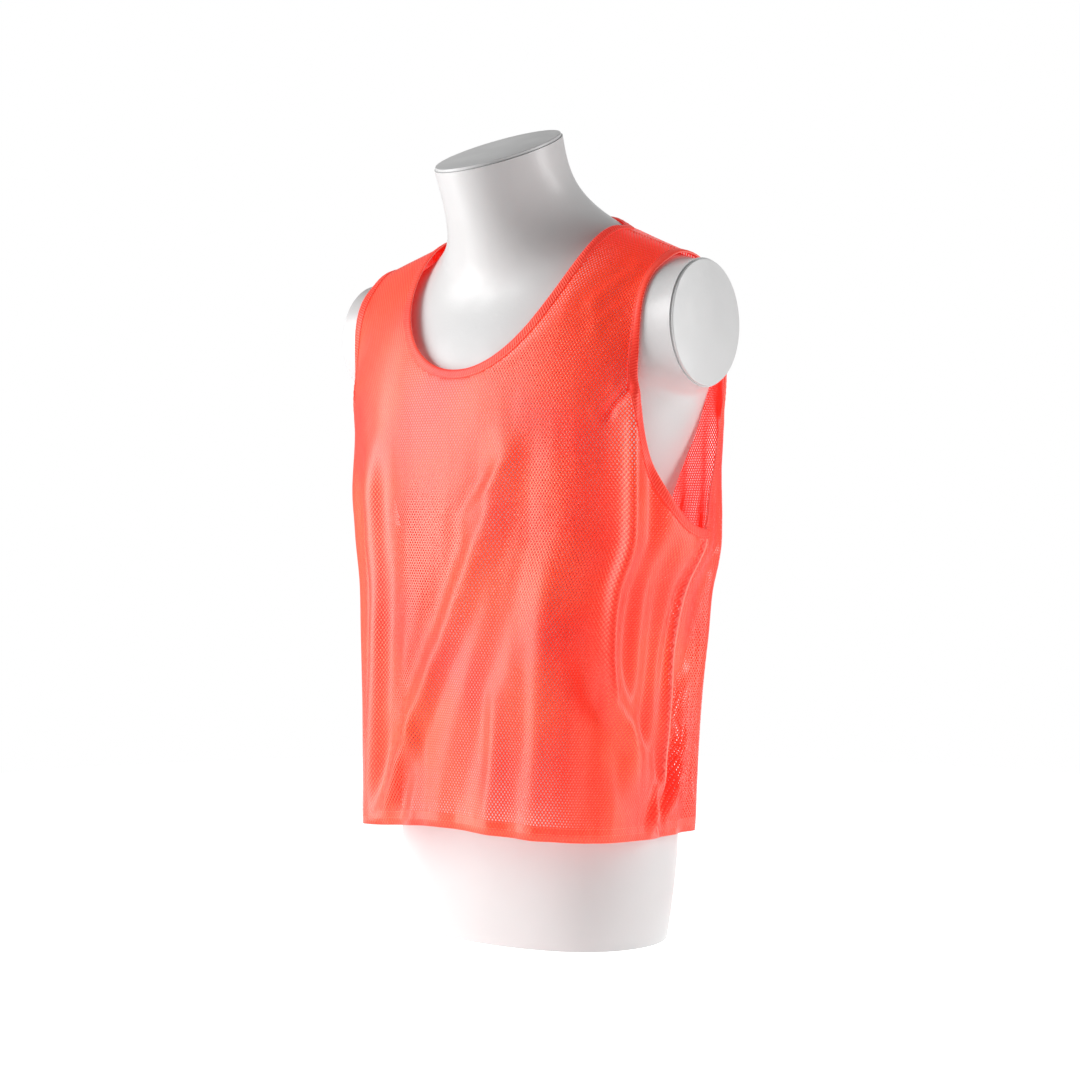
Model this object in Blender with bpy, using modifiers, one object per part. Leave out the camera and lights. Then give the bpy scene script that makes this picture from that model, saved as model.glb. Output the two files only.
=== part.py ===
"""A mesh scrimmage vest worn by a smooth limbless torso form.

Metres, +Z up. The form faces -Y, the wearer's left is +X, and the origin is the
middle of the form's flat base.

The vest is a front and a back cut from single-layer mesh cloth, a binding round
the neck and one round each armhole, and a hem turned up round the bottom. Every
cloth piece is a patch of one draped shell. A place on the cloth is (across, up):
the distance along the cloth from the panel's centre line, positive towards the
wearer's left, and the distance up the cloth from the hem.
"""

import math
from collections import namedtuple

import bmesh
import bpy
import numpy as np
from mathutils import Vector, geometry
from mathutils.bvhtree import BVHTree

# ---------------------------------------------------------------- cloth sizes
PANEL_HALF = 0.280  # centre line to side seam, flat
WALL = 0.0012  # mesh cloth
HEM_DEPTH = 0.015
HEM_WALL = 0.0022  # the cloth is double there
BINDING_WIDTH = 0.0095
BINDING_WALL = 0.0022  # a folded strip
SEAM_GAP = 0.0003
FORM_GAP = 0.0009  # from the form to the cloth's middle, beyond half a wall
SOFT_CONTACT = 0.003  # how gradually the cloth leaves the form

# ---------------------------------------------------------------- form sizes
NECK_CAP_THICKNESS = 0.003
SHOULDER_X = 0.221  # plane of each shoulder's flat end
SHOULDER_END_Y = -0.001
SHOULDER_END_Z = 0.625
SHOULDER_END_HALF_DEPTH = 0.058
SHOULDER_END_HALF_HEIGHT = 0.064
SHOULDER_CAP_THICKNESS = 0.003
CAP_INSET = 0.0015
FORM_COLUMNS = 12
CAGE_SMOOTHING = 2

# Rings of the form's cage, from its base to the cut of the neck. Each ring is
# half_width wide at y_side, and reaches y_front and y_back; power 2 is an ellipse,
# more is squarer. Its height runs from z_side to z_front and z_back.
FormRing = namedtuple(
    "FormRing", "z_front z_side z_back half_width y_front y_side y_back power"
)
FORM_RINGS = [
    FormRing(0.000, 0.000, 0.000, 0.148, -0.092, 0.006, 0.104, 2.3),  # base
    FormRing(0.110, 0.110, 0.110, 0.164, -0.100, 0.006, 0.122, 2.3),  # hips
    FormRing(0.225, 0.225, 0.225, 0.150, -0.100, 0.004, 0.104, 2.3),
    FormRing(0.330, 0.330, 0.330, 0.138, -0.098, 0.000, 0.092, 2.3),  # waist
    FormRing(0.440, 0.440, 0.440, 0.146, -0.113, -0.002, 0.098, 2.4),  # ribs
    FormRing(0.525, 0.520, 0.525, 0.181, -0.123, 0.002, 0.131, 2.5),  # chest
    FormRing(0.572, 0.556, 0.580, 0.187, -0.116, 0.004, 0.136, 2.6),  # armpit
    FormRing(0.617, 0.621, 0.640, 0.188, -0.099, 0.002, 0.122, 2.7),
    FormRing(0.652, 0.690, 0.702, 0.186, -0.084, 0.008, 0.100, 2.5),  # shoulder
    FormRing(0.676, 0.729, 0.744, 0.098, -0.081, 0.002, 0.062, 2.0),  # neck root
    FormRing(0.722, 0.766, 0.786, 0.063, -0.100, -0.037, 0.026, 2.0),
    FormRing(0.780, 0.8085, 0.837, 0.064, -0.124, -0.055, 0.014, 2.0),  # neck cut
]
SHOULDER_FIRST_RING = 6  # the arm stump grows from this ring and the next two
NECK_CUT = FORM_RINGS[-1]

# ---------------------------------------------------------------- the drape
# Level sections through the hanging cloth. The front's edge is front_half from the
# middle and the back's is back_half, both at y_seam; they reach y_front and y_back.
Section = namedtuple(
    "Section", "z front_half back_half y_seam y_front y_back front_power back_power"
)
SECTIONS = [
    Section(0.113, 0.171, 0.171, -0.005, -0.151, 0.118, 2.9, 2.6),  # hem
    Section(0.200, 0.172, 0.172, -0.003, -0.146, 0.126, 2.9, 2.7),
    Section(0.300, 0.178, 0.178, 0.002, -0.141, 0.135, 2.9, 2.8),
    Section(0.360, 0.188, 0.188, 0.010, -0.135, 0.135, 2.85, 2.4),
    Section(0.416, 0.207, 0.203, 0.024, -0.130, 0.130, 2.75, 2.2),  # armhole foot
    Section(0.470, 0.209, 0.197, 0.022, -0.128, 0.138, 2.9, 2.6),
    Section(0.530, 0.209, 0.198, 0.020, -0.126, 0.140, 3.0, 2.8),  # chest
]
# How far the hem lies above its lowest line, by the distance round the body.
HemLift = namedtuple("HemLift", "around lift")
HEM_LIFTS = [
    HemLift(-0.28, -0.002),
    HemLift(-0.10, 0.004),
    HemLift(0.00, 0.011),
    HemLift(0.09, 0.008),
    HemLift(0.18, 0.003),
    HemLift(0.28, 0.000),
]
HEM_LIFT_FADE = 0.250
HEM_Z = SECTIONS[0].z
CHEST_Z = SECTIONS[-1].z
CHEST_UP = CHEST_Z - HEM_Z

# The shoulder seams, where front and back meet on top of the form: 1 is the wearer's
# left. The vest is worn a little askew, so its right strap lies flatter and wider.
SeamEnds = namedtuple("SeamEnds", "inner outer")
SHOULDER_SEAMS = {
    1.0: SeamEnds((0.116, -0.004, 0.728), (0.186, 0.014, 0.697)),
    -1.0: SeamEnds((0.104, -0.004, 0.728), (0.211, 0.008, 0.703)),
}
SHOULDER_UP = CHEST_UP + 0.250  # nominal; each column's own length is fitted to it

# ---------------------------------------------------------------- the cut
FRONT, BACK = "front", "back"
Cut = namedtuple(
    "Cut",
    "neck_half neck_drop neck_power arm_in arm_up arm_power roll_inner roll_outer",
)
# neck_drop is measured down from the shoulder seam. The armhole is an arc that comes
# in by arm_in from the side seam over the height arm_up. roll_inner and roll_outer
# say how squarely the cloth turns over the shoulder, at the neck and at the armhole;
# 2 is an ellipse.
ARMHOLE_FOOT = 0.308 - BINDING_WIDTH
CUTS = {
    FRONT: Cut(0.113, 0.198, 2.1, 0.090, 0.190, 2.1, 1.75, 1.80),
    BACK: Cut(0.113, 0.034, 2.6, 0.090, 0.250, 1.2, 2.30, 2.20),
}

# Long soft folds. Each runs through three places on the cloth, is half_width to each
# side of its crest, and fades out over the length fade at both ends. "around" is
# measured round the body from the middle of the front, past the wearer's left.
Fold = namedtuple(
    "Fold", "foot foot_up middle middle_up head head_up rise half_width fade"
)
FOLDS = [
    # The front, from the wearer's right to the left.
    Fold(-0.205, 0.00, -0.198, 0.15, -0.190, 0.33, 0.0060, 0.020, 0.09),
    Fold(-0.114, 0.00, -0.108, 0.20, -0.116, 0.34, 0.0085, 0.017, 0.08),
    Fold(-0.092, 0.00, -0.006, 0.18, 0.060, 0.36, 0.0060, 0.017, 0.07),
    Fold(0.030, 0.02, 0.060, 0.15, 0.090, 0.30, -0.0040, 0.022, 0.08),
    Fold(0.119, 0.00, 0.124, 0.12, 0.122, 0.22, 0.0045, 0.015, 0.07),
    Fold(0.176, 0.04, 0.176, 0.10, 0.168, 0.17, -0.0040, 0.018, 0.06),
    Fold(0.232, 0.09, 0.188, 0.19, 0.187, 0.42, 0.0075, 0.015, 0.06),
    Fold(0.246, 0.12, 0.243, 0.20, 0.232, 0.27, -0.0050, 0.014, 0.05),
    # Beside the side seams.
    Fold(0.290, 0.03, 0.297, 0.08, 0.300, 0.14, -0.0080, 0.014, 0.05),
    Fold(-0.300, 0.02, -0.292, 0.12, -0.286, 0.24, -0.0070, 0.014, 0.07),
    # The back, from the wearer's left to the right.
    Fold(0.352, 0.00, 0.345, 0.15, 0.352, 0.30, 0.0070, 0.017, 0.08),
    Fold(0.430, 0.00, 0.440, 0.18, 0.470, 0.36, 0.0045, 0.020, 0.10),
    Fold(0.520, 0.00, 0.525, 0.14, 0.540, 0.26, -0.0050, 0.020, 0.09),
    Fold(0.590, 0.00, 0.600, 0.16, 0.590, 0.33, 0.0055, 0.019, 0.09),
    Fold(0.690, 0.00, 0.680, 0.20, 0.650, 0.38, 0.0065, 0.020, 0.10),
    Fold(0.765, 0.00, 0.770, 0.14, 0.775, 0.28, 0.0070, 0.016, 0.08),
]

# ---------------------------------------------------------------- mesh fineness
STEP_ACROSS = 0.0125
STEP_UP = 0.0270
RIDGE_ZONE = 0.115  # the top of the shoulder, where the rows lie closer
CURVE_STEP = 0.0110  # along the neckline and the armholes
BLUR = 1e-4  # step for working out the cloth's slope

COLORS = {
    "mesh_cloth": ((0.90, 0.085, 0.055, 1.0), 0.55),
    "rib_binding": ((0.88, 0.075, 0.050, 1.0), 0.60),
    "gloss_form": ((0.80, 0.80, 0.80, 1.0), 0.18),
}


# ---------------------------------------------------------------- curves
def smooth_curve(places, values, at):
    """Read a smooth curve through the table rows, with no overshoot between rows."""
    places = np.asarray(places, float)
    values = np.asarray(values, float)
    rise = np.diff(values) / np.diff(places)
    slope = np.concatenate(([rise[0]], (rise[:-1] + rise[1:]) / 2.0, [rise[-1]]))
    for row in range(1, len(rise)):
        if rise[row - 1] * rise[row] <= 0.0:
            slope[row] = 0.0
        else:
            limit = 3.0 * min(abs(rise[row - 1]), abs(rise[row]))
            slope[row] = math.copysign(min(abs(slope[row]), limit), rise[row])
    row = np.clip(np.searchsorted(places, at) - 1, 0, len(rise) - 1)
    width = (places[1:] - places[:-1])[row]
    t = np.clip((at - places[row]) / width, 0.0, 1.0)
    keep = (1.0 + 2.0 * t) * (1.0 - t) ** 2
    lead = t * (1.0 - t) ** 2
    trail = t * t * (t - 1.0)
    return (
        values[row] * keep
        + values[row + 1] * (1.0 - keep)
        + width * (slope[row] * lead + slope[row + 1] * trail)
    )


def ease(t):
    """Go from 0 to 1 with a level start and a level end."""
    t = np.clip(t, 0.0, 1.0)
    return t * t * (3.0 - 2.0 * t)


def quarter_round(fraction, width, height, power):
    """Walk a quarter of a superellipse, a fraction of its length at a time.

    The walk starts at (0, 1), where the curve is level, and ends at (1, 0).
    """
    turn = np.linspace(0.0, 1.0, 81)
    turn = (math.pi / 2.0) * (turn * turn * (3.0 - 2.0 * turn))
    power = np.broadcast_to(power, fraction.shape)
    along = np.sin(turn) ** (2.0 / power[:, None])
    fall = np.cos(turn) ** (2.0 / power[:, None])
    wide = np.diff(along, axis=1) * np.broadcast_to(width, fraction.shape)[:, None]
    high = np.diff(fall, axis=1) * np.broadcast_to(height, fraction.shape)[:, None]
    length = np.cumsum(np.hypot(wide, high), axis=1)
    length = np.concatenate((np.zeros((len(length), 1)), length), axis=1)
    angle = np.empty(len(length))
    for row, part in enumerate(fraction):
        angle[row] = np.interp(part * length[row, -1], length[row], turn)
    return np.sin(angle) ** (2.0 / power), np.cos(angle) ** (2.0 / power)


# ---------------------------------------------------------------- the drape
def section_field(name, z):
    rows = [section.z for section in SECTIONS]
    return smooth_curve(rows, [getattr(section, name) for section in SECTIONS], z)


def level_point(side, across, z):
    """The cloth's place on the level section at z, before the folds."""
    half_width = section_field(side + "_half", z)
    y_seam = section_field("y_seam", z)
    reach = section_field("y_" + side, z) - y_seam
    power = section_field(side + "_power", z)
    part = np.clip(np.abs(across) / PANEL_HALF, 0.0, 1.0)
    out, ahead = quarter_round(part, half_width, np.abs(reach), power)
    x = np.sign(across) * half_width * out
    return np.stack((x, y_seam + reach * ahead, z), axis=1)


def shoulder_point(across):
    """The place of a column's end on the shoulder seam, or in line with it."""
    cut = CUTS[FRONT]
    strap = PANEL_HALF - cut.arm_in - cut.neck_half
    part = (np.abs(across) - cut.neck_half) / strap
    part = np.maximum(part, 0.0)[:, None]
    mirror = np.where(across < 0.0, -1.0, 1.0)
    ends = [SHOULDER_SEAMS[one] for one in mirror]
    inner = np.array([end.inner for end in ends])
    outer = np.array([end.outer for end in ends])
    seam = inner + part * (outer - inner)
    inside = np.minimum(np.abs(across) / cut.neck_half, 1.0)
    seam[:, 0] *= np.sign(across) * inside
    return seam


def rest_point(side, across, up):
    """The cloth's place before the folds and before it meets the form."""
    lift = np.zeros(len(across))
    if side == FRONT:
        places = [row.around for row in HEM_LIFTS]
        lift = smooth_curve(places, [row.lift for row in HEM_LIFTS], across)
    lift = lift * (1.0 - ease(up / HEM_LIFT_FADE))
    low = level_point(side, across, HEM_Z + lift + np.minimum(up, CHEST_UP))
    end = shoulder_point(across)
    cut = CUTS[side]
    outer = PANEL_HALF - cut.arm_in
    sideways = ease((np.abs(across) - cut.neck_half) / (outer - cut.neck_half))
    roll = cut.roll_inner + sideways * (cut.roll_outer - cut.roll_inner)
    part = np.clip((up - CHEST_UP) / (SHOULDER_UP - CHEST_UP), 0.0, 1.0)
    rise = end[:, 2] - CHEST_Z
    depth = end[:, 1] - low[:, 1]
    climb, behind = quarter_round(part, rise, np.abs(depth), roll)
    high = low.copy()
    high[:, 0] = low[:, 0] + (end[:, 0] - low[:, 0]) * ease(part)
    high[:, 1] = end[:, 1] - depth * behind
    high[:, 2] = CHEST_Z + rise * climb
    return np.where((up > CHEST_UP)[:, None], high, low)


def fold_height(side, across, up):
    """How far the folds lift the cloth at a place."""
    around = across
    if side == BACK:
        around = np.where(across >= 0.0, 1.0, -1.0) * 2.0 * PANEL_HALF - across
    total = np.zeros(len(across))
    for fold in FOLDS:
        ups = [fold.foot_up, fold.middle_up, fold.head_up]
        crest = smooth_curve(ups, [fold.foot, fold.middle, fold.head], up)
        away = around - crest
        away = (away + 2.0 * PANEL_HALF) % (4.0 * PANEL_HALF) - 2.0 * PANEL_HALF
        share = away / fold.half_width
        shape = (1.0 - share * share) * np.exp(-share * share / 2.0)
        window = ease((up - fold.foot_up) / fold.fade + 1.0)
        window = window * ease((fold.head_up - up) / fold.fade + 1.0)
        total += fold.rise * shape * window
    return total


def slopes(place, side, across, up):
    """The cloth's outward normal, from the slope of the given place function."""
    across = np.clip(across, -PANEL_HALF, PANEL_HALF)
    up = np.clip(up, 0.0, SHOULDER_UP)
    wide = place(side, across + BLUR, up) - place(side, across - BLUR, up)
    high = place(side, across, up + BLUR) - place(side, across, up - BLUR)
    normal = np.cross(wide, high)
    if side == BACK:
        normal = -normal
    return normal / np.linalg.norm(normal, axis=1)[:, None]


class Drape:
    """The worn cloth: every place on it, clear of the form it lies against."""

    def __init__(self, form_surface):
        self.form_surface = form_surface

    def place(self, side, across, up):
        """Middle of the cloth, folded and clear of the form."""
        rest = rest_point(side, across, up)
        normal = slopes(rest_point, side, across, up)
        rest += normal * fold_height(side, across, up)[:, None]
        return np.array([self.clear_of_form(Vector(point)) for point in rest])

    def clear_of_form(self, point):
        """Ease a place outwards where it would come too near the form."""
        nearest, facing, _face, away = self.form_surface.find_nearest(point)
        outwards = point - nearest
        if outwards.dot(facing) < 0.0:
            away = -away
        if abs(away) > 1e-5:
            facing = (outwards / away).normalized()
        wanted = FORM_GAP + BINDING_WALL / 2.0
        spare = (away - wanted) / SOFT_CONTACT
        if spare > 20.0:
            return point
        eased = wanted + SOFT_CONTACT * math.log1p(math.exp(max(spare, -20.0)))
        return point + facing * (eased - away)

    def normal(self, side, across, up):
        """Outward normal; at a seam both panels share one."""
        normal = slopes(self.place, side, across, up)
        at_seam = up > SHOULDER_UP - 3.0 * BLUR
        at_seam = at_seam | (np.abs(across) > PANEL_HALF - 3.0 * BLUR)
        if at_seam.any():
            other = BACK if side == FRONT else FRONT
            shared = slopes(self.place, other, across[at_seam], up[at_seam])
            shared += normal[at_seam]
            normal[at_seam] = shared / np.linalg.norm(shared, axis=1)[:, None]
        return normal


# ---------------------------------------------------------------- the cut edges
def evenly_along(line, step):
    """Points about a step apart along a polyline, with the left-hand normals."""
    length = np.concatenate(
        ([0.0], np.cumsum(np.linalg.norm(np.diff(line, axis=0), axis=1)))
    )
    count = max(2, int(round(length[-1] / step)))
    stops = np.linspace(0.0, length[-1], count + 1)
    points = np.stack([np.interp(stops, length, line[:, k]) for k in (0, 1)], axis=1)
    nudge = step * 0.2
    ahead = [np.interp(stops + nudge, length, line[:, k]) for k in (0, 1)]
    behind = [np.interp(stops - nudge, length, line[:, k]) for k in (0, 1)]
    run = np.stack(ahead, axis=1) - np.stack(behind, axis=1)
    run /= np.linalg.norm(run, axis=1)[:, None]
    return points, np.stack((-run[:, 1], run[:, 0]), axis=1)


def armhole_edge(side):
    """Finished edge from the side seam to the shoulder, and its way into the panel."""
    cut = CUTS[side]
    turn = np.linspace(0.0, math.pi / 2.0, 61)
    across = PANEL_HALF - cut.arm_in * np.sin(turn) ** (2.0 / cut.arm_power)
    up = cut.arm_up * (1.0 - np.cos(turn) ** (2.0 / cut.arm_power))
    line = np.stack((across, ARMHOLE_FOOT + BINDING_WIDTH + up), axis=1)
    line = np.concatenate((line, [(PANEL_HALF - cut.arm_in, SHOULDER_UP)]))
    points, inward = evenly_along(line, CURVE_STEP)
    inward[0] = (0.0, -1.0)
    inward[-1] = (-1.0, 0.0)
    return points, inward


def neck_edge(side):
    """Finished edge from the centre line to the shoulder, and its way into the panel."""
    cut = CUTS[side]
    turn = np.linspace(0.0, math.pi / 2.0, 61)
    across = cut.neck_half * np.sin(turn) ** (2.0 / cut.neck_power)
    drop = cut.neck_drop * np.cos(turn) ** (2.0 / cut.neck_power)
    line = np.stack((across, SHOULDER_UP - drop), axis=1)
    points, outward = evenly_along(line, CURVE_STEP)
    inward = -outward
    inward[0] = (0.0, -1.0)
    inward[-1] = (1.0, 0.0)
    return points, inward


def half_outline(side):
    """One panel's edge on the wearer's left, from the hem's middle to the neck's."""
    side_line = PANEL_HALF - SEAM_GAP / 2.0
    top_line = SHOULDER_UP - SEAM_GAP / 2.0
    sewn_off = BINDING_WIDTH + SEAM_GAP
    columns = int(round(side_line / STEP_ACROSS))
    hem = [(side_line * k / columns, 0.0) for k in range(columns + 1)]
    arm_points, arm_inward = armhole_edge(side)
    arm = arm_points + arm_inward * sewn_off
    rows = int(round((arm[0, 1] - HEM_DEPTH) / STEP_UP))
    seam_rows = np.linspace(HEM_DEPTH + HEM_WALL / 2.0, arm[0, 1], rows + 1)
    seam = [(side_line, HEM_DEPTH)] + [(side_line, up) for up in seam_rows[:-1]]
    neck_points, neck_inward = neck_edge(side)
    neck = (neck_points + neck_inward * sewn_off)[::-1]
    arm[:, 0] = np.minimum(arm[:, 0], side_line)
    arm[-1, 1] = top_line
    neck[0, 1] = top_line
    count = max(2, int(round((arm[-1, 0] - neck[0, 0]) / STEP_ACROSS)))
    shoulder = np.linspace(arm[-1], neck[0], count + 1)[1:-1]
    return np.concatenate((hem, seam, arm, shoulder, neck))


def inside(point, outline, margin):
    """Whether a point is inside a closed outline by more than the margin."""
    start = outline
    end = np.roll(outline, -1, axis=0)
    crosses = (start[:, 1] > point[1]) != (end[:, 1] > point[1])
    rise = np.where(crosses, end[:, 1] - start[:, 1], 1.0)
    level = start[:, 0] + (point[1] - start[:, 1]) * (end[:, 0] - start[:, 0]) / rise
    if np.count_nonzero(crosses & (point[0] < level)) % 2 == 0:
        return False
    run = end - start
    part = ((point - start) * run).sum(axis=1) / (run * run).sum(axis=1)
    foot = start + run * np.clip(part, 0.0, 1.0)[:, None]
    return np.linalg.norm(foot - point, axis=1).min() > margin


def cut_panel(side):
    """Cut a panel flat: its points (across, up), triangles and edge loop."""
    half = half_outline(side)
    mirrored = half[1:-1][::-1] * (-1.0, 1.0)
    outline = np.concatenate((half, mirrored))
    squash = np.array((STEP_UP / STEP_ACROSS, 1.0))
    border = outline * squash
    points = list(outline)
    edges = [(k, (k + 1) % len(outline)) for k in range(len(outline))]
    columns = int(round(PANEL_HALF / STEP_ACROSS))
    for line in (HEM_DEPTH, HEM_DEPTH + HEM_WALL / 2.0):
        row_start = len(points)
        for k in range(1 - columns, columns):
            points.append((PANEL_HALF * k / columns, line))
        edges += [(k, k + 1) for k in range(row_start, len(points) - 1)]
    up = HEM_DEPTH + HEM_WALL / 2.0
    shift = 0.0
    while up < SHOULDER_UP:
        up += STEP_UP * (0.866 if up < SHOULDER_UP - RIDGE_ZONE else 0.5)
        shift = 0.5 - shift
        for k in range(-columns - 1, columns + 1):
            point = np.array(((k + shift) * STEP_ACROSS, up))
            if inside(point * squash, border, 0.5 * STEP_UP):
                points.append(tuple(point))
    flat = [Vector(np.asarray(point) * squash) for point in points]
    verts, _edges, faces, _v, _e, _f = geometry.delaunay_2d_cdt(
        flat, edges, [], 1, 1e-7
    )
    points = np.array([tuple(vert) for vert in verts]) / squash
    return points, [tuple(face) for face in faces]


def rim_edges(faces):
    """The directed edges that only one face has."""
    directed = {(f[k], f[(k + 1) % len(f)]) for f in faces for k in range(len(f))}
    return [edge for edge in sorted(directed) if (edge[1], edge[0]) not in directed]


def make_panel(name, drape, side):
    """Stand a cut panel up on the form and give it its wall and its turned-up hem."""
    points, faces = cut_panel(side)
    across, up = points[:, 0], points[:, 1]
    middle = drape.place(side, across, up)
    normal = drape.normal(side, across, up)
    hemmed = up < HEM_DEPTH + 1e-6
    outer = middle + normal * (WALL / 2.0)
    depth = np.where(hemmed, HEM_WALL - WALL / 2.0, WALL / 2.0)
    inner = middle - normal * depth[:, None]
    if side == BACK:
        faces = [face[::-1] for face in faces]
    count = len(points)
    shell = list(faces)
    shell += [tuple(k + count for k in face[::-1]) for face in faces]
    shell += [(b, a, a + count, b + count) for a, b in rim_edges(faces)]
    return add_mesh(name, np.concatenate((outer, inner)), shell)


def armhole_loop(mirror):
    """Once round an armhole: rows of side, place, and way into the panel."""
    front = [(FRONT, p, way) for p, way in zip(*armhole_edge(FRONT))]
    back = [(BACK, p, way) for p, way in zip(*armhole_edge(BACK))]
    loop = front[:-1] + back[:0:-1]
    return [(side, p * (mirror, 1.0), way * (mirror, 1.0)) for side, p, way in loop]


def neck_loop():
    """Once round the neck, from the middle of the front past the wearer's left."""
    front = [(FRONT, p, way) for p, way in zip(*neck_edge(FRONT))]
    back = [(BACK, p, way) for p, way in zip(*neck_edge(BACK))]
    left = front[:-1] + back[:0:-1]
    right = [(s, p * (-1.0, 1.0), w * (-1.0, 1.0)) for s, p, w in left[:0:-1]]
    middle = [back[0]]
    return left + middle + right


def make_binding(name, drape, loop):
    """Sweep the folded strip's cross-section once round an opening."""
    edge = BINDING_WALL / 2.0
    # Rows of the cross-section: distance from the finished edge, height over the middle.
    profile = (
        (0.0, 0.55 * edge),
        (edge, edge),
        (BINDING_WIDTH, edge),
        (BINDING_WIDTH, -edge),
        (edge, -edge),
        (0.0, -0.55 * edge),
    )
    rings = []
    for from_edge, height in profile:
        ring = np.empty((len(loop), 3))
        for side in (FRONT, BACK):
            picked = [k for k, row in enumerate(loop) if row[0] == side]
            flat = np.array([loop[k][1] + loop[k][2] * from_edge for k in picked])
            middle = drape.place(side, flat[:, 0], flat[:, 1])
            normal = drape.normal(side, flat[:, 0], flat[:, 1])
            ring[picked] = middle + normal * height
        rings.append(ring)
    verts = np.stack(rings, axis=1).reshape(-1, 3)
    size, count = len(profile), len(loop)
    faces = []
    for station in range(count):
        here, there = station * size, (station + 1) % count * size
        for k in range(size):
            following = (k + 1) % size
            faces.append((here + k, there + k, there + following, here + following))
    return add_mesh(name, verts, faces)


# ---------------------------------------------------------------- the form
def rounded(value, power):
    return math.copysign(abs(value) ** (2.0 / power), value)


def cage_vertex(ring, column):
    """A corner of the form's cage. Column 0 is at the wearer's left."""
    turn = 2.0 * math.pi * column / FORM_COLUMNS
    out = rounded(math.cos(turn), ring.power)
    ahead = rounded(math.sin(turn), ring.power)
    y_end, z_end = (ring.y_back, ring.z_back) if ahead > 0.0 else (
        ring.y_front, ring.z_front
    )
    spread = 3.0 / (2.0 + math.cos(2.0 * math.pi / FORM_COLUMNS))
    return (
        spread * ring.half_width * out,
        ring.y_side + spread * abs(ahead) * (y_end - ring.y_side),
        ring.z_side + spread * abs(ahead) * (z_end - ring.z_side),
    )


def form_cage():
    """The form's cage: rings joined up, a stump grown from each shoulder window."""
    verts = [cage_vertex(ring, c) for ring in FORM_RINGS for c in range(FORM_COLUMNS)]
    creased = []

    def index(ring, column):
        return ring * FORM_COLUMNS + column % FORM_COLUMNS

    faces = []
    first = SHOULDER_FIRST_RING
    half_turn = FORM_COLUMNS // 2
    windows = {(r, c % FORM_COLUMNS) for r in (first, first + 1)
               for c in (-1, 0, half_turn - 1, half_turn)}
    for r in range(len(FORM_RINGS) - 1):
        for c in range(FORM_COLUMNS):
            if (r, c) not in windows:
                faces.append((index(r, c), index(r, c + 1),
                              index(r + 1, c + 1), index(r + 1, c)))
    for r, order in ((0, -1), (len(FORM_RINGS) - 1, 1)):
        rim = [index(r, c) for c in range(FORM_COLUMNS)]
        creased += zip(rim, rim[1:] + rim[:1])
        middle = np.mean([verts[k] for k in rim], axis=0)
        faces += fan(verts, rim[::order], middle)
    for start, out in ((0, 1.0), (half_turn, -1.0)):
        # Once round the window, from its lower front corner on the left shoulder.
        window = ((0, -1), (0, 0), (0, 1), (1, 1), (2, 1), (2, 0), (2, -1), (1, -1))
        rim = [index(first + r, start + int(out) * c) for r, c in window]
        faces += stump(verts, creased, rim, out)
    return verts, faces, creased


def fan(verts, rim, middle):
    """Close a flat rim with four-sided faces round its middle."""
    verts.append(tuple(middle))
    centre = len(verts) - 1
    count = len(rim)
    return [(centre, rim[k], rim[k + 1], rim[(k + 2) % count])
            for k in range(0, count, 2)]


def stump(verts, creased, rim, out):
    """Grow a stump from the window's rim to the shoulder's flat end."""
    spread = 3.0 / (2.0 + math.cos(math.pi / 4.0))
    end = []
    for k in range(8):
        turn = math.radians(225.0 + 45.0 * k)
        end.append((
            out * SHOULDER_X,
            SHOULDER_END_Y + spread * SHOULDER_END_HALF_DEPTH * math.cos(turn),
            SHOULDER_END_Z + spread * SHOULDER_END_HALF_HEIGHT * math.sin(turn),
        ))
    faces = []
    start = len(verts)
    verts += end
    end_rim = list(range(start, start + 8))
    for k in range(8):
        following = (k + 1) % 8
        face = (rim[k], rim[following], end_rim[following], end_rim[k])
        faces.append(face if out > 0.0 else face[::-1])
    creased += zip(end_rim, end_rim[1:] + end_rim[:1])
    middle = (out * SHOULDER_X, SHOULDER_END_Y, SHOULDER_END_Z)
    faces += fan(verts, end_rim if out > 0.0 else end_rim[::-1], middle)
    return faces


def smooth_form(levels):
    """The form's surface, rounded from its cage."""
    verts, faces, creased = form_cage()
    mesh = bpy.data.meshes.new("cage")
    mesh.from_pydata(verts, [], faces)
    body = bmesh.new()
    body.from_mesh(mesh)
    layer = body.edges.layers.float.new("crease_edge")
    body.verts.ensure_lookup_table()
    for a, b in creased:
        body.edges.get((body.verts[a], body.verts[b]))[layer] = 1.0
    body.to_mesh(mesh)
    body.free()
    cage = bpy.data.objects.new("cage", mesh)
    bpy.context.scene.collection.objects.link(cage)
    smoother = cage.modifiers.new("round", "SUBSURF")
    smoother.levels = levels
    smoother.render_levels = levels
    bpy.context.view_layer.update()
    seen = cage.evaluated_get(bpy.context.evaluated_depsgraph_get())
    rounded_mesh = bpy.data.meshes.new_from_object(seen)
    points = np.array([tuple(vert.co) for vert in rounded_mesh.vertices])
    shapes = [tuple(face.vertices) for face in rounded_mesh.polygons]
    bpy.data.objects.remove(cage)
    bpy.data.meshes.remove(mesh)
    bpy.data.meshes.remove(rounded_mesh)
    return points, shapes


def flat_end_rim(points, faces, on_end):
    """The places round a flat end of the form, in order."""
    inner = [face for face in faces if all(on_end[k] for k in face)]
    step = dict(rim_edges(inner))
    order = [min(step)]
    while step[order[-1]] != order[0]:
        order.append(step[order[-1]])
    return points[order]


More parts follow.
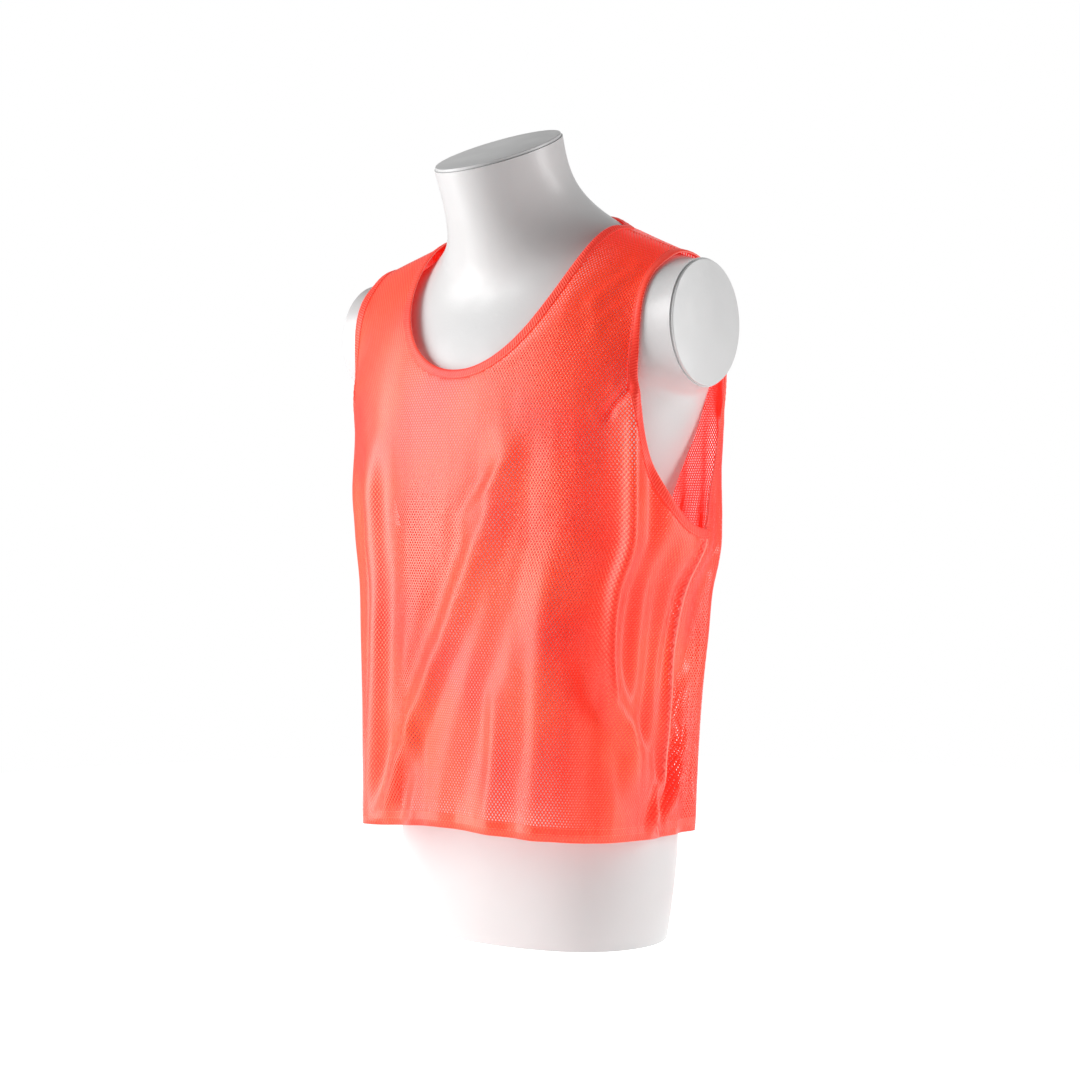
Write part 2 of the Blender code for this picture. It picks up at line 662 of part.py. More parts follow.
def make_cap(name, rim, outwards, thickness):
    """A flat plate on an end of the form, a little inside its rim."""
    outwards = np.array(outwards)
    middle = rim.mean(axis=0)
    spoke = rim - middle
    reach = np.linalg.norm(spoke, axis=1)[:, None]
    base = middle + spoke * (1.0 - CAP_INSET / reach) + outwards * SEAM_GAP
    bevel = thickness * 0.35
    top_rim = middle + spoke * (1.0 - (CAP_INSET + bevel) / reach)
    top_rim += outwards * (SEAM_GAP + thickness)
    upper = base + outwards * (thickness - bevel)
    count = len(rim)
    faces = [tuple(range(count))[::-1], tuple(range(2 * count, 3 * count))]
    for layer in (0, count):
        for k in range(count):
            f = (k + 1) % count
            faces.append((layer + k, layer + f, layer + count + f, layer + count + k))
    return add_mesh(name, np.concatenate((base, upper, top_rim)), faces)


# ---------------------------------------------------------------- the objects
def add_mesh(name, verts, faces):
    mesh = bpy.data.meshes.new(name)
    mesh.from_pydata([tuple(vert) for vert in verts], [], faces)
    mesh.validate()
    body = bmesh.new()
    body.from_mesh(mesh)
    bmesh.ops.recalc_face_normals(body, faces=body.faces)
    body.to_mesh(mesh)
    body.free()
    part = bpy.data.objects.new(name, mesh)
    HOME.objects.link(part)
    return part


def paint(part, material_name):
    color, roughness = COLORS[material_name]
    material = bpy.data.materials.get(material_name)
    if material is None:
        material = bpy.data.materials.new(material_name)
        material.use_nodes = True
        shader = material.node_tree.nodes["Principled BSDF"]
        shader.inputs["Base Color"].default_value = color
        shader.inputs["Roughness"].default_value = roughness
        material.diffuse_color = color
    part.data.materials.append(material)


def build():
    points, faces = smooth_form(CAGE_SMOOTHING)
    fine_points, fine_faces = smooth_form(CAGE_SMOOTHING + 2)
    surface = BVHTree.FromPolygons([tuple(p) for p in fine_points], fine_faces)
    drape = Drape(surface)
    paint(add_mesh("torso_form", points, faces), "gloss_form")
    for name, out in (("shoulder_cap_left", 1.0), ("shoulder_cap_right", -1.0)):
        on_end = np.abs(points[:, 0] - out * SHOULDER_X) < 1e-5
        rim = flat_end_rim(points, faces, on_end)
        cap = make_cap(name, rim, (out, 0.0, 0.0), SHOULDER_CAP_THICKNESS)
        paint(cap, "gloss_form")
    slant = math.atan2(
        NECK_CUT.z_back - NECK_CUT.z_side, NECK_CUT.y_back - NECK_CUT.y_side
    )
    up = (0.0, -math.sin(slant), math.cos(slant))
    level = points @ np.array(up)
    rim = flat_end_rim(points, faces, level > level.max() - 1e-5)
    paint(make_cap("neck_cap", rim, up, NECK_CAP_THICKNESS), "gloss_form")
    paint(make_panel("front_panel", drape, FRONT), "mesh_cloth")
    paint(make_panel("back_panel", drape, BACK), "mesh_cloth")
    paint(make_binding("neck_binding", drape, neck_loop()), "rib_binding")
    for name, mirror in (("armhole_binding_left", 1.0), ("armhole_binding_right", -1.0)):
        paint(make_binding(name, drape, armhole_loop(mirror)), "rib_binding")


for leftover in list(bpy.data.objects):
    bpy.data.objects.remove(leftover)
HOME = bpy.data.collections.new("scrimmage_vest_on_form")
bpy.context.scene.collection.children.link(HOME)
build()
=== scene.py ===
"""A mesh scrimmage vest worn by a glossy limbless torso form, dressed for a studio view.

The vest is built again here as fine cloth on the same drape as its solids: two panels
of knitted mesh, a ribbed binding round the neck and each armhole, a turned-up hem and
its rows of stitching. A place on the cloth is (across, up): the distance along the
cloth from a panel's centre line, positive towards the wearer's left, and the distance
up the cloth from the hem.
"""

from __future__ import annotations

import logging
import math
from dataclasses import dataclass, field
from enum import Enum

import bmesh
import bpy
import numpy as np
from mathutils import Matrix, Vector, geometry, noise
from mathutils.bvhtree import BVHTree

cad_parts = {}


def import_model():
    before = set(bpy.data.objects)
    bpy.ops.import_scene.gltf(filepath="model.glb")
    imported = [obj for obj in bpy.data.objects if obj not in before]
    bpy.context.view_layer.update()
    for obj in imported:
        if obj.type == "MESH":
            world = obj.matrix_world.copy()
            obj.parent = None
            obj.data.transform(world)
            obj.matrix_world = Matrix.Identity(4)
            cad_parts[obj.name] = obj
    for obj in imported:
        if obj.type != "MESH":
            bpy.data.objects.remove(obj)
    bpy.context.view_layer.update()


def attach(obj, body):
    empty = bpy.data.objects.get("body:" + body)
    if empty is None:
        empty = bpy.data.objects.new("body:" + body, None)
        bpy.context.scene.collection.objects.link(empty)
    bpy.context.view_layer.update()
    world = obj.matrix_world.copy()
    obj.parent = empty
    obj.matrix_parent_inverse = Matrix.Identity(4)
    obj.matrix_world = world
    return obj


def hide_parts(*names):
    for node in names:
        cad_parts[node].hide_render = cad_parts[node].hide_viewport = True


LOG = logging.getLogger("scrimmage_vest")
BODY = "root"

CURVE_SAMPLES = 81  # points that measure a quarter of a section
EDGE_SAMPLES = 121  # points that draw a neckline or an armhole

Colour = tuple[float, float, float, float]
Loop = list[tuple["Side", np.ndarray, np.ndarray]]


class Side(Enum):
    """The two panels of the vest."""

    FRONT = "front"
    BACK = "back"


class Slot(Enum):
    """The record's material slots."""

    MESH_CLOTH = "mesh_cloth"
    RIB_BINDING = "rib_binding"
    GLOSS_FORM = "gloss_form"


# ------------------------------------------------------------------ small tools
def ease(value: np.ndarray) -> np.ndarray:
    """Go from 0 to 1 with a level start and a level end.

    Args:
        value: Any numbers; those below 0 or above 1 are held there.

    Returns:
        The eased numbers.
    """
    held = np.clip(value, 0.0, 1.0)
    return held * held * (3.0 - 2.0 * held)


def smooth_curve(places: list[float], values: list[float], at: np.ndarray) -> np.ndarray:
    """Read a smooth curve through table rows, with no overshoot between rows.

    Args:
        places: Where each row stands, rising.
        values: The value in each row.
        at: Where to read the curve.

    Returns:
        The curve's value at each place.
    """
    knots = np.asarray(places, float)
    heights = np.asarray(values, float)
    rise = np.diff(heights) / np.diff(knots)
    slope = np.concatenate(([rise[0]], (rise[:-1] + rise[1:]) / 2.0, [rise[-1]]))
    for row in range(1, len(rise)):
        if rise[row - 1] * rise[row] <= 0.0:
            slope[row] = 0.0
        else:
            limit = 3.0 * min(abs(rise[row - 1]), abs(rise[row]))
            slope[row] = math.copysign(min(abs(slope[row]), limit), rise[row])
    row = np.clip(np.searchsorted(knots, at) - 1, 0, len(rise) - 1)
    width = (knots[1:] - knots[:-1])[row]
    t = np.clip((at - knots[row]) / width, 0.0, 1.0)
    keep = (1.0 + 2.0 * t) * (1.0 - t) ** 2
    lead = t * (1.0 - t) ** 2
    trail = t * t * (t - 1.0)
    bend = width * (slope[row] * lead + slope[row + 1] * trail)
    return heights[row] * keep + heights[row + 1] * (1.0 - keep) + bend


def quarter_round(
    fraction: np.ndarray, width: np.ndarray, height: np.ndarray, power: np.ndarray
) -> tuple[np.ndarray, np.ndarray]:
    """Walk a quarter of a superellipse, a fraction of its length at a time.

    Args:
        fraction: How much of the quarter's length to walk, from (0, 1) to (1, 0).
        width: The quarter's width, one for each walk.
        height: The quarter's height, one for each walk.
        power: 2 for an ellipse, more for a squarer corner.

    Returns:
        The share of the width and of the height that each walk reaches.
    """
    turn = np.linspace(0.0, 1.0, CURVE_SAMPLES)
    turn = (math.pi / 2.0) * (turn * turn * (3.0 - 2.0 * turn))
    shape = np.broadcast_to(power, fraction.shape)
    along = np.sin(turn) ** (2.0 / shape[:, None])
    fall = np.cos(turn) ** (2.0 / shape[:, None])
    wide = np.diff(along, axis=1) * np.broadcast_to(width, fraction.shape)[:, None]
    high = np.diff(fall, axis=1) * np.broadcast_to(height, fraction.shape)[:, None]
    length = np.cumsum(np.hypot(wide, high), axis=1)
    length = np.concatenate((np.zeros((len(length), 1)), length), axis=1)
    goal = np.clip(fraction, 0.0, 1.0) * length[:, -1]
    step = np.clip((length <= goal[:, None]).sum(axis=1) - 1, 0, len(turn) - 2)
    rows = np.arange(len(step))
    before, after = length[rows, step], length[rows, step + 1]
    part = (goal - before) / np.maximum(after - before, 1e-12)
    angle = turn[step] + part * (turn[step + 1] - turn[step])
    return np.sin(angle) ** (2.0 / shape), np.cos(angle) ** (2.0 / shape)


def cage_spread(corners: int) -> float:
    """Tell how far out a ring's corners stand, for its rounding to have a radius of 1.

    Args:
        corners: How many corners the ring has.

    Returns:
        The corners' radius.
    """
    return 3.0 / (2.0 + math.cos(2.0 * math.pi / corners))


def unit(vectors: np.ndarray) -> np.ndarray:
    """Give each row vector the length 1."""
    return vectors / np.linalg.norm(vectors, axis=1)[:, None]


def deselect_all() -> None:
    """Leave edit mode and select nothing."""
    if bpy.context.object and bpy.context.object.mode != "OBJECT":
        bpy.ops.object.mode_set(mode="OBJECT")
    bpy.ops.object.select_all(action="DESELECT")


def make_active(piece: bpy.types.Object) -> None:
    """Select one piece alone and make it active."""
    deselect_all()
    piece.select_set(True)
    bpy.context.view_layer.objects.active = piece


def apply_modifiers(piece: bpy.types.Object) -> None:
    """Apply every modifier of a piece, in order."""
    make_active(piece)
    for modifier in list(piece.modifiers):
        bpy.ops.object.modifier_apply(modifier=modifier.name)


def settle(piece: bpy.types.Object) -> None:
    """Put a piece's place into its mesh, so that its object stands at the origin."""
    make_active(piece)
    bpy.ops.object.transform_apply(location=True, rotation=True, scale=True)


def shade_smooth(piece: bpy.types.Object, angle_degrees: float) -> None:
    """Shade a piece smoothly up to an angle between its faces."""
    make_active(piece)
    bpy.ops.object.shade_smooth_by_angle(angle=math.radians(angle_degrees))


def mesh_piece(
    name: str,
    verts: np.ndarray,
    faces: list[tuple[int, ...]],
    uvs: np.ndarray | None = None,
) -> bpy.types.Object:
    """Make an object from mesh data.

    Args:
        name: The piece's name.
        verts: One row of x, y, z for each corner.
        faces: The corner numbers of each face.
        uvs: One row of u, v for each vertex, or for each corner of each face in
            order, in metres along the cloth.

    Returns:
        The new object, linked to the scene.
    """
    mesh = bpy.data.meshes.new(name)
    mesh.from_pydata([tuple(vert) for vert in verts], [], faces)
    if uvs is not None:
        layer = mesh.uv_layers.new(name="cloth")
        spread = np.asarray(uvs, float)
        if len(spread) == len(verts):
            corners = np.zeros(len(mesh.loops), dtype=np.int32)
            mesh.loops.foreach_get("vertex_index", corners)
            spread = spread[corners]
        layer.data.foreach_set("uv", spread.ravel())
    mesh.polygons.foreach_set("use_smooth", [True] * len(mesh.polygons))
    mesh.update()
    piece = bpy.data.objects.new(name, mesh)
    bpy.context.scene.collection.objects.link(piece)
    return piece


def hand_over(
    piece: bpy.types.Object,
    material: bpy.types.Material,
    node: str | None = None,
) -> None:
    """Dress a piece, and let it ride on the frame.

    Args:
        piece: The finished piece.
        material: The finish.
        node: The solid that it stands for, if any.
    """
    piece.data.materials.clear()
    piece.data.materials.append(material)
    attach(piece, BODY)
    if node is not None:
        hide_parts(node)
    LOG.info("%s: %d faces", piece.name, len(piece.data.polygons))


# ------------------------------------------------------------------ node graphs
@dataclass(frozen=True)
class Band:
    """A smooth change of a value between two places.

    Attributes:
        start: Where the change begins.
        end: Where the change ends.
        before: The value up to the start.
        beyond: The value from the end on.
    """

    start: float
    end: float
    before: float
    beyond: float


@dataclass
class Graph:
    """A small helper that adds shader nodes to a tree and joins them.

    Attributes:
        tree: The node tree that is being built.
    """

    tree: bpy.types.NodeTree

    def node(self, kind: str, **settings: object) -> bpy.types.Node:
        """Add a node.

        Args:
            kind: The node's type name.
            **settings: Node properties to set.

        Returns:
            The new node.
        """
        made = self.tree.nodes.new(kind)
        for key, value in settings.items():
            setattr(made, key, value)
        return made

    def put(self, socket: bpy.types.NodeSocket, value: object) -> None:
        """Join an output to a socket, or set the socket to a plain value."""
        if isinstance(value, bpy.types.NodeSocket):
            self.tree.links.new(value, socket)
        else:
            socket.default_value = value

    def math(self, operation: str, *values: object) -> bpy.types.NodeSocket:
        """Add a Math node and return its output."""
        made = self.node("ShaderNodeMath", operation=operation)
        for socket, value in zip(made.inputs, values):
            self.put(socket, value)
        return made.outputs[0]

    def band(self, value: object, band: Band) -> bpy.types.NodeSocket:
        """Read a smooth change at a value.

        Args:
            value: Where the change is read.
            band: The change.

        Returns:
            The changed value.
        """
        made = self.node("ShaderNodeMapRange", interpolation_type="SMOOTHSTEP")
        numbers = (value, band.start, band.end, band.before, band.beyond)
        for socket, number in zip(made.inputs, numbers):
            self.put(socket, number)
        return made.outputs[0]

    def product(self, first: object, *others: object) -> bpy.types.NodeSocket:
        """Multiply values and return the result."""
        made = first
        for value in others:
            made = self.math("MULTIPLY", made, value)
        return made

    def wave(self, distance: object, length: float) -> bpy.types.NodeSocket:
        """Add a wave of a length over a distance, from -1 to 1, and return it."""
        return self.math("COSINE", self.math("MULTIPLY", distance, 2.0 * math.pi / length))

    def mix(self, share: object, first: object, second: object) -> bpy.types.NodeSocket:
        """Mix two colours by a share and return the colour."""
        made = self.node("ShaderNodeMix", data_type="RGBA")
        self.put(made.inputs["Factor"], share)
        self.put(made.inputs["A"], first)
        self.put(made.inputs["B"], second)
        return made.outputs["Result"]

    def noise(self, vector: object, scale: float, detail: float) -> bpy.types.NodeSocket:
        """Add a Noise texture and return its value."""
        made = self.node("ShaderNodeTexNoise")
        self.put(made.inputs["Vector"], vector)
        self.put(made.inputs["Scale"], scale)
        self.put(made.inputs["Detail"], detail)
        return made.outputs["Fac"]

    def place(self) -> bpy.types.NodeSocket:
        """Add the place on the object and return it."""
        return self.node("ShaderNodeTexCoord").outputs["Object"]

    def split(self, vector: bpy.types.NodeSocket) -> list[bpy.types.NodeSocket]:
        """Split a vector into its three parts and return them."""
        made = self.node("ShaderNodeSeparateXYZ")
        self.put(made.inputs[0], vector)
        return list(made.outputs)

    def cloth_place(self) -> list[bpy.types.NodeSocket]:
        """Return the two distances along the cloth, from its UV map."""
        return self.split(self.node("ShaderNodeUVMap", uv_map="cloth").outputs[0])[:2]

    def yarn(
        self, tree: bpy.types.NodeTree, place: object, light: Colour, deep: Colour
    ) -> bpy.types.Node:
        """Add the yarn group.

        Args:
            tree: The group.
            place: The place on the object.
            light: The paler dye.
            deep: The deeper dye.

        Returns:
            The group's node, with Colour and Height outputs.
        """
        made = self.node("ShaderNodeGroup", node_tree=tree)
        for label, value in (("Place", place), ("Light", light), ("Deep", deep)):
            self.put(made.inputs[label], value)
        return made

    def bump(self, height: object, strength: float, depth: float) -> bpy.types.NodeSocket:
        """Turn a height into a normal.

        Args:
            height: The height.
            strength: How much of the relief shows.
            depth: The relief of a height of 1, in metres.

        Returns:
            The normal.
        """
        made = self.node("ShaderNodeBump")
        made.inputs["Strength"].default_value = strength
        made.inputs["Distance"].default_value = depth
        self.put(made.inputs["Height"], height)
        return made.outputs[0]


def new_group(
    name: str, inputs: dict[str, tuple[str, object]], outputs: dict[str, str]
) -> tuple[Graph, bpy.types.Node, bpy.types.Node]:
    """Make an empty shader node group.

    Args:
        name: The group's name.
        inputs: For each input, its socket type and default.
        outputs: For each output, its socket type.

    Returns:
        The group's graph, its input node and its output node.
    """
    tree = bpy.data.node_groups.new(name, "ShaderNodeTree")
    for label, (kind, default) in inputs.items():
        socket = tree.interface.new_socket(label, in_out="INPUT", socket_type=kind)
        socket.default_value = default
    for label, kind in outputs.items():
        tree.interface.new_socket(label, in_out="OUTPUT", socket_type=kind)
    graph = Graph(tree)
    return graph, graph.node("NodeGroupInput"), graph.node("NodeGroupOutput")


def new_material(name: str) -> tuple[bpy.types.Material, Graph, bpy.types.Node]:
    """Make a material with a Principled shader.

    Args:
        name: The material's name.

    Returns:
        The material, its graph and its shader.
    """
    material = bpy.data.materials.new(name)
    material.use_nodes = True
    graph = Graph(material.node_tree)
    return material, graph, material.node_tree.nodes["Principled BSDF"]


def set_all_over(shader: bpy.types.Node, values: dict[str, object]) -> None:
    """Set the sockets of a shader that are the same all over a surface.

    Args:
        shader: The shader.
        values: The value for each socket's name.
    """
    for label, value in values.items():
        shader.inputs[label].default_value = value


def yarn_group(patch_scale: float = 9.0, fuzz_scale: float = 900.0) -> bpy.types.NodeTree:
    """Build the yarn group: uneven dye and fine fuzz, used by every cloth finish.

    Args:
        patch_scale: Patches of dye in a metre.
        fuzz_scale: Tufts of fuzz in a metre.

    Returns:
        The node group, with Colour and Height outputs.
    """
    graph, given, result = new_group(
        "uneven_yarn",
        {
            "Place": ("NodeSocketVector", (0.0, 0.0, 0.0)),
            "Light": ("NodeSocketColor", (1.0, 0.1, 0.05, 1.0)),
            "Deep": ("NodeSocketColor", (0.8, 0.05, 0.02, 1.0)),
        },
        {"Colour": "NodeSocketColor", "Height": "NodeSocketFloat"},
    )
    patches = graph.noise(given.outputs["Place"], patch_scale, 2.0)
    fuzz = graph.noise(given.outputs["Place"], fuzz_scale, 2.0)
    share = graph.math("MULTIPLY_ADD", patches, 0.7, graph.math("MULTIPLY", fuzz, 0.3))
    share = graph.band(share, Band(0.32, 0.68, 0.0, 1.0))
    colour = graph.mix(share, given.outputs["Deep"], given.outputs["Light"])
    graph.put(result.inputs["Colour"], colour)
    graph.put(result.inputs["Height"], fuzz)
    return graph.tree


# ------------------------------------------------------------------ finishes
@dataclass(frozen=True)
class KnitMesh:
    """Neon knitted mesh with staggered holes.

    Each Band is read at a distance in metres, or at the knit's own wave, which is 1 in
    the middle of a hole and -1 between holes.

    Attributes:
        pitch_across: Distance between holes along a row.
        pitch_up: Distance between rows.
        openness: Height of the wave over which the cloth is open; less is more open.
        edge_softness: How gradually a hole's rim closes.
        hem_depth: Depth of the turned-up hem, where the holes are backed.
        hem_edge: How gradually the holes begin over the hem.
        panel_half: Width of half a panel, where the side seams run.
        far_side: How far the holes are drawn shut at the wearer's right.
        near_corner: How far they are drawn shut towards the wearer's left.
        below_arm: Which part of that corner lies under the armhole.
        in_front: Which part of it lies on the front of the vest.
        over_shoulder: How far the holes are drawn shut on the shoulders.
        off_seam: Where the holes begin beside a side seam.
        rim_shade: Painted shade, darkening the yarn towards a hole.
        painted_seam_highlight_band: Where the painted highlight lies on a side seam's crest.
        painted_seam_shade_band: Where the painted shade lies beside a side seam.
        seam_ridge: The height of the side seam.
        gloss: The roughness from between the holes to their rims.
        light: The yarn in the light.
        deep: The deeper yarn, and also the colour of the painted shade at the holes' rims.
        crest: The painted highlight on the crest of a side seam.
        painted_seam_shade: The painted shade beside a side seam.
        glow: A painted glow that keeps the red bright even in shade, standing in for the neon
            dye's fluorescence.
        satin: The tint of the yarn's gloss.
    """

    pitch_across: float = 0.0033
    pitch_up: float = 0.0026
    openness: float = 0.26
    edge_softness: float = 0.09
    hem_depth: float = 0.015
    hem_edge: float = 0.0004
    panel_half: float = 0.280
    far_side: Band = Band(-0.105, -0.062, 0.90, 0.0)
    near_corner: Band = Band(0.120, 0.185, 0.0, 0.60)
    below_arm: Band = Band(0.330, 0.400, 1.0, 0.0)
    in_front: Band = Band(0.010, 0.035, 1.0, 0.0)
    over_shoulder: Band = Band(0.590, 0.650, 0.0, 0.30)
    off_seam: Band = Band(0.0016, 0.0024, 0.0, 1.0)
    rim_shade: Band = Band(-0.7, 0.26, 0.0, 0.85)
    painted_seam_highlight_band: Band = Band(0.0006, 0.0016, 0.90, 0.0)
    painted_seam_shade_band: Band = Band(0.0030, 0.0065, 0.75, 0.0)
    seam_ridge: Band = Band(0.0, 0.0030, 1.6, 0.0)
    gloss: Band = Band(-1.0, 1.0, 0.34, 0.48)
    light: Colour = (1.0, 0.128, 0.010, 1.0)
    deep: Colour = (0.88, 0.012, 0.003, 1.0)
    crest: Colour = (1.0, 0.300, 0.240, 1.0)
    painted_seam_shade: Colour = (0.52, 0.006, 0.003, 1.0)
    glow: Colour = (1.0, 0.010, 0.002, 1.0)
    satin: Colour = (1.0, 0.78, 0.52, 1.0)

    def drawn_shut(
        self, graph: Graph, across: object, up: object, depth: object
    ) -> bpy.types.NodeSocket:
        """Work out how far the holes are drawn shut where the cloth gathers.

        Args:
            graph: The material's graph.
            across: Distance from the panel's centre line.
            up: Distance up the cloth from the hem.
            depth: Distance behind the middle of the object.

        Returns:
            The amount, to be taken from the knit's wave.
        """
        corner = graph.product(
            graph.band(across, self.near_corner),
            graph.band(up, self.below_arm),
            graph.band(depth, self.in_front),
        )
        sides = graph.math("ADD", graph.band(across, self.far_side), corner)
        return graph.math("ADD", sides, graph.band(up, self.over_shoulder))

    def open_share(
        self, graph: Graph, slack: object, up: object, from_seam: object
    ) -> bpy.types.NodeSocket:
        """Work out where the cloth is open: in its holes, off the hem and the seams.

        Args:
            graph: The material's graph.
            slack: The knit's wave, less what is drawn shut.
            up: Distance up the cloth from the hem.
            from_seam: Distance from the side seam.

        Returns:
            1 where the cloth is open and 0 where it is closed.
        """
        rim = Band(
            self.openness - self.edge_softness, self.openness + self.edge_softness, 0.0, 1.0
        )
        hem = Band(self.hem_depth - self.hem_edge, self.hem_depth, 0.0, 1.0)
        return graph.product(
            graph.band(slack, rim),
            graph.product(graph.band(up, hem), graph.band(from_seam, self.off_seam)),
        )

    def material(self, yarn: bpy.types.NodeTree) -> bpy.types.Material:
        """Make the material.

        Args:
            yarn: The shared yarn group.

        Returns:
            The finished material.
        """
        material, graph, shader = new_material("neon_knit_mesh")
        across, up = graph.cloth_place()
        wave = graph.product(
            graph.wave(across, self.pitch_across), graph.wave(up, 2.0 * self.pitch_up)
        )
        from_seam = graph.math("SUBTRACT", self.panel_half, graph.math("ABSOLUTE", across))
        place = graph.place()
        shut = self.drawn_shut(graph, across, up, graph.split(place)[1])
        slack = graph.math("SUBTRACT", wave, shut)
        open_share = self.open_share(graph, slack, up, from_seam)
        graph.put(shader.inputs["Alpha"], graph.math("SUBTRACT", 1.0, open_share))
        group = graph.yarn(yarn, place, self.light, self.deep)
        colour = group.outputs["Colour"]
        for share, tone in (
            # painted shade, darker towards each hole's rim
            (graph.band(wave, self.rim_shade), self.deep),
            # painted shade beside the side seam
            (graph.band(from_seam, self.painted_seam_shade_band), self.painted_seam_shade),
            # painted highlight on the side seam's crest
            (graph.band(from_seam, self.painted_seam_highlight_band), self.crest),
        ):
            colour = graph.mix(share, colour, tone)
        graph.put(shader.inputs["Base Color"], colour)
        graph.put(shader.inputs["Roughness"], graph.band(wave, self.gloss))
        ridge = graph.band(from_seam, self.seam_ridge)
        height = graph.math("MULTIPLY_ADD", wave, -0.5, ridge)
        height = graph.math("MULTIPLY_ADD", group.outputs["Height"], 0.25, height)
        graph.put(shader.inputs["Normal"], graph.bump(height, 0.75, 0.0008))
        set_all_over(
            shader,
            {
                "Specular IOR Level": 0.75,
                "Specular Tint": self.satin,
                "Coat Weight": 1.0,
                "Coat Roughness": 0.43,
                "Sheen Weight": 0.06,
                "Sheen Roughness": 0.4,
                # painted glow: emission keeps the red bright even where the cloth is in shade
                "Emission Color": self.glow,
                "Emission Strength": 0.42,
            },
        )
        return material


@dataclass(frozen=True)
class RibKnit:
    """Neon ribbed knit for the bindings.

    Attributes:
        rib_pitch: Distance between ribs along the strip, in metres.
        slant: How far a rib leans along the strip for each metre across it.
        fold_highlight_width: Width of the painted highlight along the strip's fold.
        girth: Length once round the strip's cross-section, from its fold.
        fold_highlight_strength: How strongly the painted highlight shows on the fold.
        groove_shade: Painted shade, darkening the yarn between the ribs.
        gloss: The roughness from between the ribs to their crests.
        light: The yarn in the light.
        deep: The deeper yarn, and also the colour of the painted shade between the ribs.
        edge: The painted highlight on the fold.
        glow: A painted glow that keeps the red bright even in shade, standing in for the neon
            dye's fluorescence.
    """

    rib_pitch: float = 0.0030
    slant: float = 0.60
    fold_highlight_width: float = 0.0011
    girth: float = 0.0223
    fold_highlight_strength: float = 0.85
    groove_shade: Band = Band(-0.9, 0.3, 0.80, 0.0)
    gloss: Band = Band(-1.0, 1.0, 0.68, 0.50)
    light: Colour = (1.0, 0.120, 0.050, 1.0)
    deep: Colour = (0.80, 0.020, 0.008, 1.0)
    edge: Colour = (1.0, 0.380, 0.320, 1.0)
    glow: Colour = (1.0, 0.010, 0.004, 1.0)

    def fold_highlight(self, graph: Graph, about: object) -> bpy.types.NodeSocket:
        """Work out the painted highlight along the strip's fold, at a distance about its
        section.
        """
        first = graph.band(about, Band(0.0, self.fold_highlight_width, 1.0, 0.0))
        last = graph.band(about, Band(self.girth - self.fold_highlight_width, self.girth, 0.0, 1.0))
        return graph.product(graph.math("MAXIMUM", first, last), self.fold_highlight_strength)

    def material(self, yarn: bpy.types.NodeTree) -> bpy.types.Material:
        """Make the material.

        Args:
            yarn: The shared yarn group.

        Returns:
            The finished material.
        """
        material, graph, shader = new_material("neon_rib_knit")
        along, about = graph.cloth_place()
        rib = graph.wave(graph.math("MULTIPLY_ADD", about, self.slant, along), self.rib_pitch)
        group = graph.yarn(yarn, graph.place(), self.light, self.deep)
        # painted shade between the ribs
        shade = graph.band(rib, self.groove_shade)
        colour = graph.mix(shade, group.outputs["Colour"], self.deep)
        # painted highlight along the strip's fold
        colour = graph.mix(self.fold_highlight(graph, about), colour, self.edge)
        graph.put(shader.inputs["Base Color"], colour)
        graph.put(shader.inputs["Roughness"], graph.band(rib, self.gloss))
        height = graph.math("MULTIPLY_ADD", group.outputs["Height"], 0.6, rib)
        graph.put(shader.inputs["Normal"], graph.bump(height, 0.6, 0.0004))
        set_all_over(
            shader,
            {
                "Coat Weight": 0.45,
                "Coat Roughness": 0.42,
                "Sheen Weight": 0.06,
                # painted glow: emission keeps the red bright even where the binding is in shade
                "Emission Color": self.glow,
                "Emission Strength": 0.35,
            },
        )
        return material


@dataclass(frozen=True)
class SewingThread:
    """Thread of the cloth's own colour, a little glossier.

    Attributes:
        light: The thread in the light.
        deep: The thread between its plies.
        glow: A painted glow that keeps the thread bright even in shade, standing in for the neon
            dye's fluorescence.
    """

    light: Colour = (1.0, 0.30, 0.23, 1.0)
    deep: Colour = (1.0, 0.18, 0.12, 1.0)
    glow: Colour = (1.0, 0.08, 0.03, 1.0)

    def material(self, yarn: bpy.types.NodeTree) -> bpy.types.Material:
        """Make the material.

        Args:
            yarn: The shared yarn group.

        Returns:
            The finished material.
        """
        material, graph, shader = new_material("neon_thread")
        group = graph.yarn(yarn, graph.place(), self.light, self.deep)
        graph.put(shader.inputs["Base Color"], group.outputs["Colour"])
        normal = graph.bump(group.outputs["Height"], 0.3, 0.0002)
        graph.put(shader.inputs["Normal"], normal)
        set_all_over(
            shader,
            # painted glow: emission keeps the thread bright even in shade
            {"Roughness": 0.45, "Emission Color": self.glow, "Emission Strength": 0.15},
        )
        return material


@dataclass(frozen=True)
class GlossShell:
    """Sprayed glossy white, with the faint waviness of a moulded shell.

    Attributes:
        white: The paint.
        dusty: The paint under a little dust.
        dust: Where the dust lies, read at a noise.
        gloss: The roughness over smears, read at a noise.
    """

    white: Colour = (0.69, 0.69, 0.69, 1.0)
    dusty: Colour = (0.67, 0.669, 0.667, 1.0)
    dust: Band = Band(0.45, 0.75, 0.0, 1.0)
    gloss: Band = Band(0.3, 0.75, 0.30, 0.42)

    def material(self) -> bpy.types.Material:
        """Make the material and return it."""
        material, graph, shader = new_material("gloss_white_shell")
        place = graph.place()
        dust = graph.band(graph.noise(place, 7.0, 3.0), self.dust)
        graph.put(shader.inputs["Base Color"], graph.mix(dust, self.white, self.dusty))
        smear = graph.noise(place, 30.0, 3.0)
        graph.put(shader.inputs["Roughness"], graph.band(smear, self.gloss))
        peel = graph.noise(place, 240.0, 1.0)
        height = graph.math("MULTIPLY_ADD", graph.noise(place, 16.0, 1.0), 6.0, peel)
        graph.put(shader.inputs["Normal"], graph.bump(height, 0.10, 0.0006))
        return material


